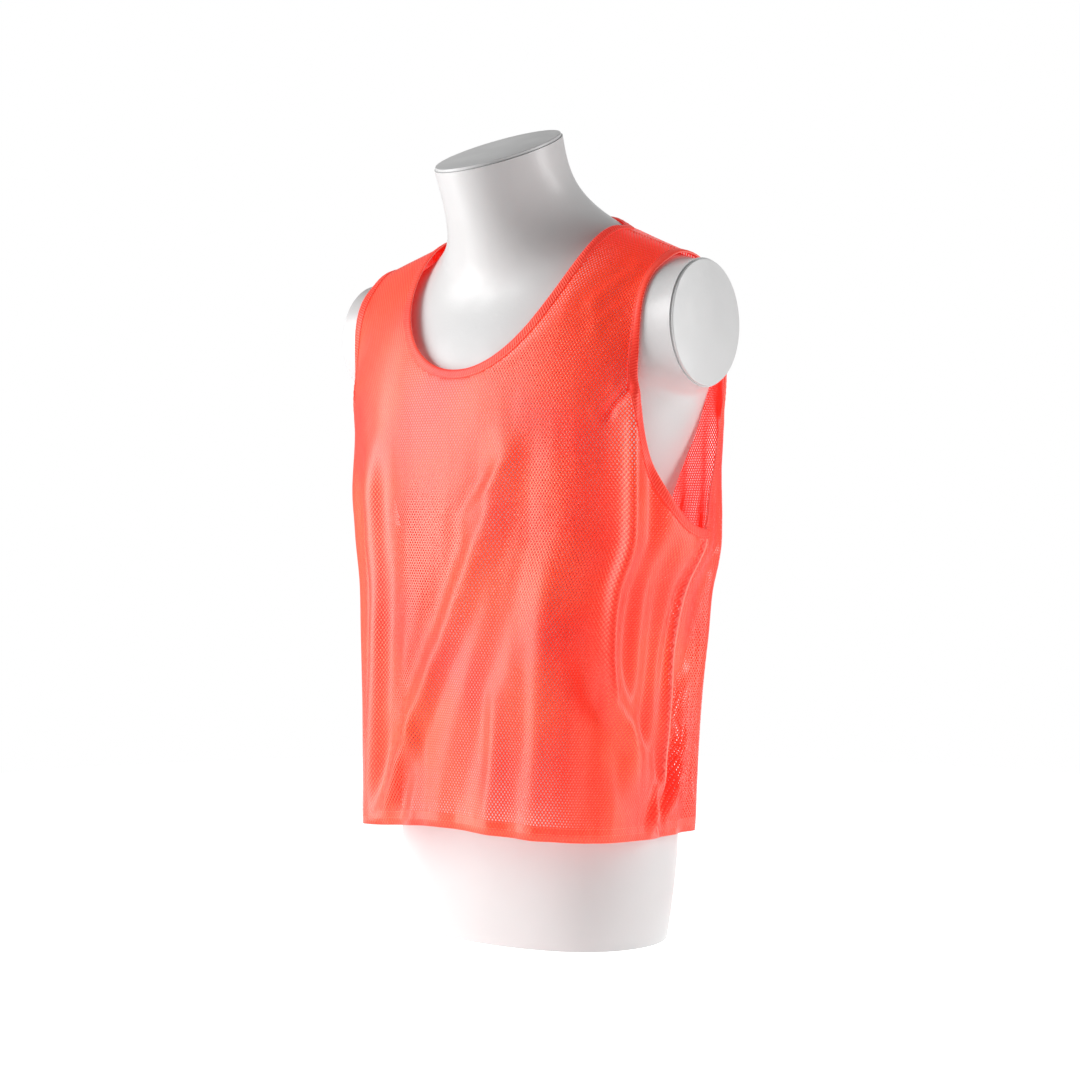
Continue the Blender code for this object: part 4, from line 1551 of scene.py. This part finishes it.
# ------------------------------------------------------------------ the cut edges
def evenly_along(
    line: np.ndarray, step: float, least_run: float = 0.002
) -> tuple[np.ndarray, np.ndarray]:
    """Place points about a step apart along a polyline.

    Args:
        line: The polyline.
        step: The distance that is wanted between points.
        least_run: How far to each side the line's run is read at least.

    Returns:
        The points, and the polyline's left-hand normal at each.
    """
    parts = np.linalg.norm(np.diff(line, axis=0), axis=1)
    length = np.concatenate(([0.0], np.cumsum(parts)))
    count = max(2, int(round(length[-1] / step)))
    stops = np.linspace(0.0, length[-1], count + 1)
    points = np.stack([np.interp(stops, length, line[:, k]) for k in (0, 1)], axis=1)
    nudge = max(step * 0.2, least_run)
    ahead = [np.interp(stops + nudge, length, line[:, k]) for k in (0, 1)]
    behind = [np.interp(stops - nudge, length, line[:, k]) for k in (0, 1)]
    run = unit(np.stack(ahead, axis=1) - np.stack(behind, axis=1))
    return points, np.stack((-run[:, 1], run[:, 0]), axis=1)


@dataclass
class Opening:
    """The finished edges of the neck and the armholes, and what is sewn to them.

    Attributes:
        drape: The worn cloth.
        step: Distance between points along an edge.
    """

    drape: Drape
    step: float = 0.004

    def armhole_edge(self, side: Side) -> tuple[np.ndarray, np.ndarray]:
        """Follow the armhole from the side seam to the shoulder.

        Args:
            side: The panel.

        Returns:
            Points on the finished edge, and the way into the panel at each.
        """
        drape, cut = self.drape, self.drape.cuts[side]
        turn = np.linspace(0.0, math.pi / 2.0, EDGE_SAMPLES)
        across = drape.panel_half - cut.arm_in * np.sin(turn) ** (2.0 / cut.arm_power)
        up = cut.arm_up * (1.0 - np.cos(turn) ** (2.0 / cut.arm_power))
        line = np.stack((across, drape.armhole_foot + up), axis=1)
        top = (drape.panel_half - cut.arm_in, drape.shoulder_up)
        points, inward = evenly_along(np.concatenate((line, [top])), self.step)
        inward[0] = (0.0, -1.0)
        inward[-1] = (-1.0, 0.0)
        return points, inward

    def neck_edge(self, side: Side) -> tuple[np.ndarray, np.ndarray]:
        """Follow the neckline from the centre line to the shoulder.

        Args:
            side: The panel.

        Returns:
            Points on the finished edge, and the way into the panel at each.
        """
        drape, cut = self.drape, self.drape.cuts[side]
        turn = np.linspace(0.0, math.pi / 2.0, EDGE_SAMPLES)
        across = cut.neck_half * np.sin(turn) ** (2.0 / cut.neck_power)
        drop = cut.neck_drop * np.cos(turn) ** (2.0 / cut.neck_power)
        line = np.stack((across, drape.shoulder_up - drop), axis=1)
        points, outward = evenly_along(line, self.step)
        inward = -outward
        inward[0] = (0.0, -1.0)
        inward[-1] = (1.0, 0.0)
        return points, inward

    def armhole_loop(self, mirror: float) -> Loop:
        """Go once round an armhole.

        Args:
            mirror: 1 for the wearer's left, -1 for the right.

        Returns:
            Rows of panel, place, and way into the panel.
        """
        front = [(Side.FRONT, p, way) for p, way in zip(*self.armhole_edge(Side.FRONT))]
        back = [(Side.BACK, p, way) for p, way in zip(*self.armhole_edge(Side.BACK))]
        flip = np.array((mirror, 1.0))
        return [(s, p * flip, way * flip) for s, p, way in front[:-1] + back[:0:-1]]

    def neck_loop(self) -> Loop:
        """Go once round the neck, from the middle of the front past the left."""
        front = [(Side.FRONT, p, way) for p, way in zip(*self.neck_edge(Side.FRONT))]
        back = [(Side.BACK, p, way) for p, way in zip(*self.neck_edge(Side.BACK))]
        left = front[:-1] + back[:0:-1]
        flip = np.array((-1.0, 1.0))
        right = [(side, p * flip, way * flip) for side, p, way in left[:0:-1]]
        return left + [back[0]] + right


# ------------------------------------------------------------------ the vest
@dataclass
class VestPanel:
    """The front or the back of the vest: one layer of mesh with a turned-up hem.

    Attributes:
        drape: The worn cloth.
        opening: The edges of the neck and the armholes.
        side: Which panel.
        step_across: Distance between points across the panel.
        step_up: Size of the triangles up the panel.
        row_share: Distance between rows, as a share of that size.
        ridge_share: The same share where the rows lie closer.
        ridge_zone: How far below the shoulder the rows lie closer.
        wall: Thickness of one layer.
        hem_wall: Thickness where the hem is turned up.
        seam_gap: From one panel to the other at a seam.
        tucked: How far the raw edge runs up inside a binding.
    """

    drape: Drape
    opening: Opening
    side: Side
    step_across: float = 0.0036
    step_up: float = 0.0060
    row_share: float = 0.866
    ridge_share: float = 0.55
    ridge_zone: float = 0.110
    wall: float = 0.0005
    hem_wall: float = 0.0012
    seam_gap: float = 0.0003
    tucked: float = 0.0035

    def half_outline(self) -> np.ndarray:
        """Follow the cut edge on the wearer's left, from the hem's middle to the neck's.

        Returns:
            One row of across, up for each point.
        """
        drape = self.drape
        side_line = drape.panel_half - self.seam_gap / 2.0
        top_line = drape.shoulder_up - self.seam_gap / 2.0
        sewn_off = drape.binding_width - self.tucked
        columns = int(round(side_line / self.step_across))
        hem = [(side_line * k / columns, 0.0) for k in range(columns + 1)]
        arm_points, arm_inward = self.opening.armhole_edge(self.side)
        arm = arm_points + arm_inward * sewn_off
        fold = drape.hem_depth + self.hem_wall / 2.0
        rows = int(round((arm[0, 1] - fold) / self.step_up))
        seam = [(side_line, drape.hem_depth)]
        seam += [(side_line, up) for up in np.linspace(fold, arm[0, 1], rows + 1)[:-1]]
        neck_points, neck_inward = self.opening.neck_edge(self.side)
        neck = (neck_points + neck_inward * sewn_off)[::-1]
        arm[:, 0] = np.minimum(arm[:, 0], side_line)
        arm[-1, 1] = top_line
        neck[0, 1] = top_line
        count = max(2, int(round((arm[-1, 0] - neck[0, 0]) / self.step_across)))
        shoulder = np.linspace(arm[-1], neck[0], count + 1)[1:-1]
        return np.concatenate((hem, seam, arm, shoulder, neck))

    def inside(self, points: np.ndarray, outline: np.ndarray, margin: float) -> np.ndarray:
        """Tell which points are inside a closed outline by more than a margin.

        Args:
            points: One row for each point.
            outline: One row for each corner.
            margin: The least distance to the outline.

        Returns:
            True for each point that is well inside.
        """
        start, end = outline, np.roll(outline, -1, axis=0)
        run = end - start
        inner = np.zeros(len(points), bool)
        for number, point in enumerate(points):
            crosses = (start[:, 1] > point[1]) != (end[:, 1] > point[1])
            rise = np.where(crosses, run[:, 1], 1.0)
            level = start[:, 0] + (point[1] - start[:, 1]) * run[:, 0] / rise
            if np.count_nonzero(crosses & (point[0] < level)) % 2 == 0:
                continue
            part = ((point - start) * run).sum(axis=1) / (run * run).sum(axis=1)
            foot = start + run * np.clip(part, 0.0, 1.0)[:, None]
            inner[number] = np.linalg.norm(foot - point, axis=1).min() > margin
        return inner

    def cut(self) -> tuple[np.ndarray, list[tuple[int, ...]]]:
        """Cut the panel flat.

        Returns:
            Its points (across, up) and its triangles.
        """
        half = self.half_outline()
        outline = np.concatenate((half, half[1:-1][::-1] * (-1.0, 1.0)))
        squash = np.array((self.step_up / self.step_across, 1.0))
        points = list(outline)
        edges = [(k, (k + 1) % len(outline)) for k in range(len(outline))]
        columns = int(round(self.drape.panel_half / self.step_across))
        fold = self.drape.hem_depth + self.hem_wall / 2.0
        for line in (self.drape.hem_depth, fold):
            row_start = len(points)
            for k in range(1 - columns, columns):
                points.append((self.drape.panel_half * k / columns, line))
            edges += [(k, k + 1) for k in range(row_start, len(points) - 1)]
        inner = [
            ((k + shift) * self.step_across, up)
            for up, shift in ((self.drape.hem_depth / 2.0, 0.0), *self.rows(fold))
            for k in range(-columns - 1, columns + 1)
        ]
        inner = np.array(inner)
        kept = self.inside(inner * squash, outline * squash, 0.5 * self.step_up)
        points += [tuple(point) for point in inner[kept]]
        flat = [Vector(np.asarray(point) * squash) for point in points]
        verts, _e, faces, _v, _w, _f = geometry.delaunay_2d_cdt(flat, edges, [], 1, 1e-7)
        return np.array([tuple(vert) for vert in verts]) / squash, [
            tuple(face) for face in faces
        ]

    def rows(self, start: float) -> list[tuple[float, float]]:
        """List the rows of points above a height.

        Args:
            start: The height.

        Returns:
            Each row's height and its sideways shift, as a share of a step across.
        """
        listed = []
        up, shift = start, 0.0
        near_ridge = self.drape.shoulder_up - self.ridge_zone
        while up < self.drape.shoulder_up:
            up += self.step_up * (self.row_share if up < near_ridge else self.ridge_share)
            shift = 0.5 - shift
            listed.append((up, shift))
        return listed

    def model(self) -> bpy.types.Object:
        """Stand the cut panel up on the form and give it its wall and its hem.

        Returns:
            The finished panel.
        """
        points, faces = self.cut()
        across, up = points[:, 0], points[:, 1]
        middle = self.drape.place(self.side, across, up)
        normal = self.drape.normal(self.side, across, up, folded=True)
        hemmed = up < self.drape.hem_depth + 1e-6
        outer = middle + normal * (self.wall / 2.0)
        depth = np.where(hemmed, self.hem_wall - self.wall / 2.0, self.wall / 2.0)
        inner = middle - normal * depth[:, None]
        if self.side is Side.BACK:
            faces = [face[::-1] for face in faces]
        count = len(points)
        directed = {(f[k], f[(k + 1) % 3]) for f in faces for k in range(3)}
        rim = [edge for edge in sorted(directed) if (edge[1], edge[0]) not in directed]
        shell = list(faces)
        shell += [tuple(k + count for k in face[::-1]) for face in faces]
        shell += [(b, a, a + count, b + count) for a, b in rim]
        return mesh_piece(
            self.side.value + "_mesh_panel",
            np.concatenate((outer, inner)),
            shell,
            np.concatenate((points, points)),
        )

    def flat_area(self) -> float:
        """Measure the cut panel's flat area in square metres."""
        half = np.concatenate((self.half_outline(), [(0.0, 0.0)]))
        x, y = half[:, 0], half[:, 1]
        return float(abs(np.dot(x, np.roll(y, -1)) - np.dot(y, np.roll(x, -1))))


@dataclass(frozen=True)
class ProfilePoint:
    """A corner of the binding's cross-section."""

    from_edge: float
    height: float


@dataclass
class Binding:
    """A strip of rib folded over the raw edge and sewn down.

    Attributes:
        drape: The worn cloth.
        width: Finished width.
        profile: The cross-section, once round.
        pucker: How much the strip swells between stitches.
        pucker_length: Distance from one swelling to the next.
        stitch_line: From the finished edge to the row of stitches.
        stitch_height: From the middle of the cloth to the stitches' middles.
    """

    drape: Drape
    width: float = 0.0095
    profile: list[ProfilePoint] = field(
        default_factory=lambda: [
            ProfilePoint(-0.0003, 0.0000),
            ProfilePoint(0.0001, 0.0008),
            ProfilePoint(0.0011, 0.0013),
            ProfilePoint(0.0030, 0.0015),
            ProfilePoint(0.0052, 0.0014),
            ProfilePoint(0.0070, 0.0010),
            ProfilePoint(0.0078, 0.0007),
            ProfilePoint(0.0086, 0.0010),
            ProfilePoint(0.0095, 0.0008),
            ProfilePoint(0.0096, -0.0006),
            ProfilePoint(0.0080, -0.0011),
            ProfilePoint(0.0045, -0.0012),
            ProfilePoint(0.0010, -0.0010),
        ]
    )
    pucker: float = 0.00022
    pucker_length: float = 0.0070
    stitch_line: float = 0.0078
    stitch_height: float = 0.0009

    def stations(
        self, loop: Loop, from_edge: float
    ) -> tuple[np.ndarray, np.ndarray]:
        """Follow a loop at a distance inside its finished edge.

        Args:
            loop: Rows of panel, place and way into the panel.
            from_edge: The distance.

        Returns:
            The places on the middle of the cloth, and the normals there.
        """
        middle = np.empty((len(loop), 3))
        normal = np.empty((len(loop), 3))
        for side in Side:
            picked = [k for k, row in enumerate(loop) if row[0] is side]
            flat = np.array([loop[k][1] + loop[k][2] * from_edge for k in picked])
            middle[picked] = self.drape.place(side, flat[:, 0], flat[:, 1])
            normal[picked] = self.drape.normal(side, flat[:, 0], flat[:, 1], folded=True)
        return middle, normal

    def model(
        self, name: str, loop: Loop
    ) -> tuple[bpy.types.Object, float]:
        """Sweep the cross-section once round an opening.

        Args:
            name: The piece's name.
            loop: Rows of panel, place and way into the panel.

        Returns:
            The finished binding, and its length.
        """
        edge, _normal = self.stations(loop, self.width / 2.0)
        steps = np.linalg.norm(np.roll(edge, -1, axis=0) - edge, axis=1)
        along = np.concatenate(([0.0], np.cumsum(steps)))
        swell = np.sin(along[:-1] * 2.0 * math.pi / self.pucker_length)
        rings = []
        for point in self.profile:
            middle, normal = self.stations(loop, point.from_edge)
            crown = math.sin(math.pi * np.clip(point.from_edge / self.width, 0.0, 1.0))
            height = point.height + (self.pucker * crown * swell if point.height > 0 else 0)
            rings.append(middle + normal * np.broadcast_to(height, len(loop))[:, None])
        verts = np.stack(rings, axis=1).reshape(-1, 3)
        size, count = len(self.profile), len(loop)
        turn = np.array([[p.from_edge, p.height] for p in self.profile])
        girth = np.linalg.norm(np.roll(turn, -1, axis=0) - turn, axis=1)
        about = np.concatenate(([0.0], np.cumsum(girth)))
        faces, uvs = [], []
        for station in range(count):
            here, there = station * size, (station + 1) % count * size
            near, far = along[station], along[station + 1]
            for k in range(size):
                after = (k + 1) % size
                faces.append((here + k, there + k, there + after, here + after))
                uvs += [(near, about[k]), (far, about[k])]
                uvs += [(far, about[k + 1]), (near, about[k + 1])]
        piece = mesh_piece(name, verts, faces, np.array(uvs))
        make_active(piece)
        bpy.ops.object.mode_set(mode="EDIT")
        bpy.ops.mesh.select_all(action="SELECT")
        bpy.ops.mesh.normals_make_consistent(inside=False)
        bpy.ops.object.mode_set(mode="OBJECT")
        return piece, float(along[-1])


@dataclass
class Sewing:
    """Rows of short stitches on the outside of the cloth.

    Attributes:
        drape: The worn cloth.
        pitch: Distance from one stitch to the next.
        length: Length of a stitch.
        thickness: Thickness of the thread.
        line_step: Distance between the points that a straight row is drawn through.
        side_margin: From a hem row's end to the side seam.
        off_cloth: From the cloth's outside to the stitches' middles.
        hem_top: Height of the hem's upper row.
        hem_low: Height of its lower row.
        shoulder_drop: From the shoulder seam to the row beside it.
    """

    drape: Drape
    pitch: float = 0.0030
    length: float = 0.0023
    thickness: float = 0.00050
    line_step: float = 0.002
    side_margin: float = 0.0010
    off_cloth: float = 0.0001
    hem_top: float = 0.0136
    hem_low: float = 0.0072
    shoulder_drop: float = 0.0030

    def one_stitch(self) -> tuple[np.ndarray, list[tuple[int, ...]]]:
        """Model one stitch along X, as a small plump bead with its poles at the ends.

        Returns:
            Its corners and its faces.
        """
        deselect_all()
        bpy.ops.mesh.primitive_uv_sphere_add(
            segments=6, ring_count=4, radius=1.0, rotation=(0.0, math.pi / 2.0, 0.0)
        )
        bead = bpy.context.object
        bead.scale = (self.thickness / 2.0, self.thickness / 2.0, self.length / 2.0)
        settle(bead)
        verts = np.array([tuple(vert.co) for vert in bead.data.vertices])
        faces = [tuple(face.vertices) for face in bead.data.polygons]
        bpy.data.objects.remove(bead)
        return verts, faces

    def row(self, name: str, line: np.ndarray, normals: np.ndarray) -> bpy.types.Object:
        """Sew a row of stitches along a line on the cloth.

        Args:
            name: The row's name.
            line: Places along the row, in order.
            normals: The cloth's normal at each place.

        Returns:
            The finished row.
        """
        bead, bead_faces = self.one_stitch()
        gaps = np.linalg.norm(np.diff(line, axis=0), axis=1)
        length = np.concatenate(([0.0], np.cumsum(gaps)))
        count = max(2, int(length[-1] / self.pitch))
        middles = (np.arange(count) + 0.5) * length[-1] / count

        def at(values: np.ndarray, stops: np.ndarray) -> np.ndarray:
            """Read the rows of values at distances along the line."""
            return np.stack([np.interp(stops, length, values[:, k]) for k in range(3)], 1)

        start = at(line, middles - self.length / 2.0)
        end = at(line, middles + self.length / 2.0)
        up = unit(at(normals, middles))
        run = unit(end - start)
        side = unit(np.cross(up, run))
        up = np.cross(run, side)
        centre = (start + end) / 2.0
        verts = (
            centre[:, None, :]
            + run[:, None, :] * bead[None, :, 0, None]
            + side[:, None, :] * bead[None, :, 1, None]
            + up[:, None, :] * bead[None, :, 2, None]
        ).reshape(-1, 3)
        faces = [
            tuple(corner + number * len(bead) for corner in face)
            for number in range(count)
            for face in bead_faces
        ]
        return mesh_piece(name, verts, faces)

    def straight_row(
        self,
        name: str,
        side: Side,
        ends: tuple[tuple[float, float], tuple[float, float]],
        height: float,
    ) -> bpy.types.Object:
        """Sew a row that is straight on the flat panel.

        Args:
            name: The row's name.
            side: The panel.
            ends: Where the row starts and ends, each as across and up.
            height: From the middle of the cloth to the stitches' middles.

        Returns:
            The finished row.
        """
        first, last = np.asarray(ends[0]), np.asarray(ends[1])
        count = max(3, int(np.linalg.norm(last - first) / self.line_step))
        flat = first + (last - first) * np.linspace(0.0, 1.0, count)[:, None]
        middle = self.drape.place(side, flat[:, 0], flat[:, 1])
        normal = self.drape.normal(side, flat[:, 0], flat[:, 1], folded=True)
        return self.row(name, middle + normal * height, normal)


@dataclass
class ScrimmageVest:
    """The whole vest: two panels, three bindings and their sewing.

    Attributes:
        form: The surface of the form that wears it.
    """

    form: BVHTree

    def dress(self) -> None:
        """Model every piece of the vest and put it in place."""
        yarn = yarn_group()
        knit_finish, rib_finish = KnitMesh().material(yarn), RibKnit().material(yarn)
        thread_finish = SewingThread().material(yarn)
        drape = Drape(self.form)
        opening = Opening(drape)
        sewing = Sewing(drape)
        trims = self.bind(drape, opening, sewing, rib_finish, thread_finish)
        for side in Side:
            panel = VestPanel(drape, opening, side)
            cloth = panel.model()
            hand_over(cloth, knit_finish, side.value + "_panel")
            rows = self.panel_rows(sewing, panel)
            for row in rows:
                hand_over(row, thread_finish)
            panel.flat_area()

    def bind(
        self,
        drape: Drape,
        opening: Opening,
        sewing: Sewing,
        rib_finish: bpy.types.Material,
        thread_finish: bpy.types.Material,
    ) -> list[bpy.types.Object]:
        """Bind the neck and the armholes.

        Args:
            drape: The worn cloth.
            opening: The edges of the neck and the armholes.
            sewing: The sewing.
            rib_finish: The finish of the strips.
            thread_finish: The finish of the stitches.

        Returns:
            The strips and their rows of stitches.
        """
        binding = Binding(drape)
        loops = {
            "neck_binding": opening.neck_loop(),
            "armhole_binding_left": opening.armhole_loop(1.0),
            "armhole_binding_right": opening.armhole_loop(-1.0),
        }
        made = []
        for node, loop in loops.items():
            strip, length = binding.model(node + "_rib", loop)
            hand_over(strip, rib_finish, node)
            middle, normal = binding.stations(loop, binding.stitch_line)
            line = middle + normal * binding.stitch_height
            line = np.concatenate((line, line[:1]))
            row = sewing.row(node + "_stitches", line, np.concatenate((normal, normal[:1])))
            hand_over(row, thread_finish)
            LOG.info("%s: %.3f m long", node, length)
            made += [strip, row]
        return made

    def panel_rows(self, sewing: Sewing, panel: VestPanel) -> list[bpy.types.Object]:
        """Sew a panel's hem and its shoulders.

        Args:
            sewing: The sewing.
            panel: The panel.

        Returns:
            The finished rows.
        """
        drape, name = panel.drape, panel.side.value
        edge = drape.panel_half - sewing.side_margin
        lift = panel.wall / 2.0 + sewing.off_cloth
        hem = (("_hem_stitches_top", sewing.hem_top), ("_hem_stitches_low", sewing.hem_low))
        rows = [
            sewing.straight_row(name + label, panel.side, ((-edge, up), (edge, up)), lift)
            for label, up in hem
        ]
        cut = drape.cuts[panel.side]
        inner = cut.neck_half + drape.binding_width
        outer = drape.panel_half - cut.arm_in - drape.binding_width
        top = drape.shoulder_up - sewing.shoulder_drop
        for label, out in (("_shoulder_stitches_left", 1.0), ("_shoulder_stitches_right", -1.0)):
            ends = ((out * inner, top), (out * outer, top))
            rows.append(sewing.straight_row(name + label, panel.side, ends, lift))
        return rows


# ------------------------------------------------------------------ the studio
@dataclass(frozen=True)
class Softbox:
    """A rectangular soft light that faces the object.

    Attributes:
        name: The light's name.
        azimuth: Turn from the front towards the wearer's left, in degrees.
        elevation: Height above the level, in degrees.
        distance: From the light to the object's middle.
        width: Its width.
        height: Its height.
        power: Its power in watts.
    """

    name: str
    azimuth: float
    elevation: float
    distance: float
    width: float
    height: float
    power: float


@dataclass
class Studio:
    """A pale floor, soft light and the camera.

    Attributes:
        azimuth: The camera's turn from the front towards the wearer's left, in degrees.
        distance: From the camera to the object's middle.
        target_height: The height that the camera looks at.
        lit_height: The height that the lights face.
        lens: Focal length on a 36 mm frame.
        shift: Sideways and upward shift of the frame.
        room: How brightly the room lights the object, and how bright it looks.
        floor_radius: Radius of the round floor.
        floor_drop: How far the floor lies under the form's base.
        softboxes: The lights.
    """

    azimuth: float = 40.0
    distance: float = 2.3
    target_height: float = 0.445
    lit_height: float = 0.45
    lens: float = 73.0
    shift: tuple[float, float] = (0.00648, -0.0324)
    room: Band = Band(0.0, 1.0, 0.22, 1.0)
    floor_radius: float = 1.6
    floor_drop: float = 0.0005
    softboxes: list[Softbox] = field(
        default_factory=lambda: [
            Softbox("key_light", -45.0, 12.0, 2.2, 1.1, 2.0, 52.0),
            Softbox("side_light", 124.0, 10.0, 2.2, 0.5, 1.9, 25.0),
            Softbox("back_light", 215.0, 25.0, 2.8, 1.4, 1.8, 4.0),
        ]
    )

    def direction(self, azimuth: float, elevation: float) -> Vector:
        """Find the way from the object's middle to a place seen from it.

        Args:
            azimuth: Turn from the front towards the wearer's left, in degrees.
            elevation: Height above the level, in degrees.

        Returns:
            A vector of length 1.
        """
        turn, rise = math.radians(azimuth), math.radians(elevation)
        level = math.cos(rise)
        return Vector((math.sin(turn) * level, -math.cos(turn) * level, math.sin(rise)))

    def aim(self, thing: bpy.types.Object, place: Vector, target: Vector) -> None:
        """Put a light or the camera at a place and turn it to a target."""
        thing.location = place
        thing.rotation_euler = (target - place).to_track_quat("-Z", "Y").to_euler()

    def add_camera(self) -> None:
        """Add the camera."""
        data = bpy.data.cameras.new("studio_camera")
        data.lens = self.lens
        data.sensor_width = 36.0
        data.shift_x, data.shift_y = self.shift
        data.clip_end = 50.0
        camera = bpy.data.objects.new("studio_camera", data)
        bpy.context.scene.collection.objects.link(camera)
        target = Vector((0.0, 0.0, self.target_height))
        self.aim(camera, target + self.direction(self.azimuth, 0.0) * self.distance, target)
        bpy.context.scene.camera = camera

    def add_softbox(self, box: Softbox) -> None:
        """Add a soft light."""
        data = bpy.data.lights.new(box.name, "AREA")
        data.shape = "RECTANGLE"
        data.size, data.size_y = box.width, box.height
        data.energy = box.power
        light = bpy.data.objects.new(box.name, data)
        bpy.context.scene.collection.objects.link(light)
        target = Vector((0.0, 0.0, self.lit_height))
        way = self.direction(box.azimuth, box.elevation)
        self.aim(light, target + way * box.distance, target)

    def add_floor(self) -> None:
        """Lay the floor."""
        deselect_all()
        bpy.ops.mesh.primitive_circle_add(
            vertices=96, radius=self.floor_radius, fill_type="NGON"
        )
        floor = bpy.context.object
        floor.name = "studio_floor"
        floor.location = (0.0, 0.0, -self.floor_drop)
        settle(floor)
        floor.data.materials.append(PaleFloor().material())

    def add_world(self) -> None:
        """Fill the room with pale light."""
        world = bpy.data.worlds.new("studio_world")
        world.use_nodes = True
        graph = Graph(world.node_tree)
        background = world.node_tree.nodes["Background"]
        seen = graph.node("ShaderNodeLightPath").outputs["Is Camera Ray"]
        background.inputs["Color"].default_value = (1.0, 1.0, 1.0, 1.0)
        graph.put(background.inputs["Strength"], graph.band(seen, self.room))
        bpy.context.scene.world = world

    def build(self) -> None:
        """Set up the whole studio."""
        self.add_floor()
        self.add_world()
        for box in self.softboxes:
            self.add_softbox(box)
        self.add_camera()
        bpy.context.scene.view_settings.view_transform = "Standard"


def main() -> None:
    """Build the object and the studio in the loaded frame."""
    logging.basicConfig(level=logging.INFO, format="%(name)s: %(message)s")
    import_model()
    deselect_all()
    torso = TorsoForm()
    shell = GlossShell().material()
    body = torso.model()
    hand_over(body, shell, "torso_form")
    for node, plate in torso.plates().items():
        hand_over(plate, shell, node)
    corners = [vert.co for vert in body.data.vertices]
    surface = [tuple(face.vertices) for face in body.data.polygons]
    ScrimmageVest(BVHTree.FromPolygons(corners, surface)).dress()
    Studio().build()


if __name__ == "__main__":
    main()
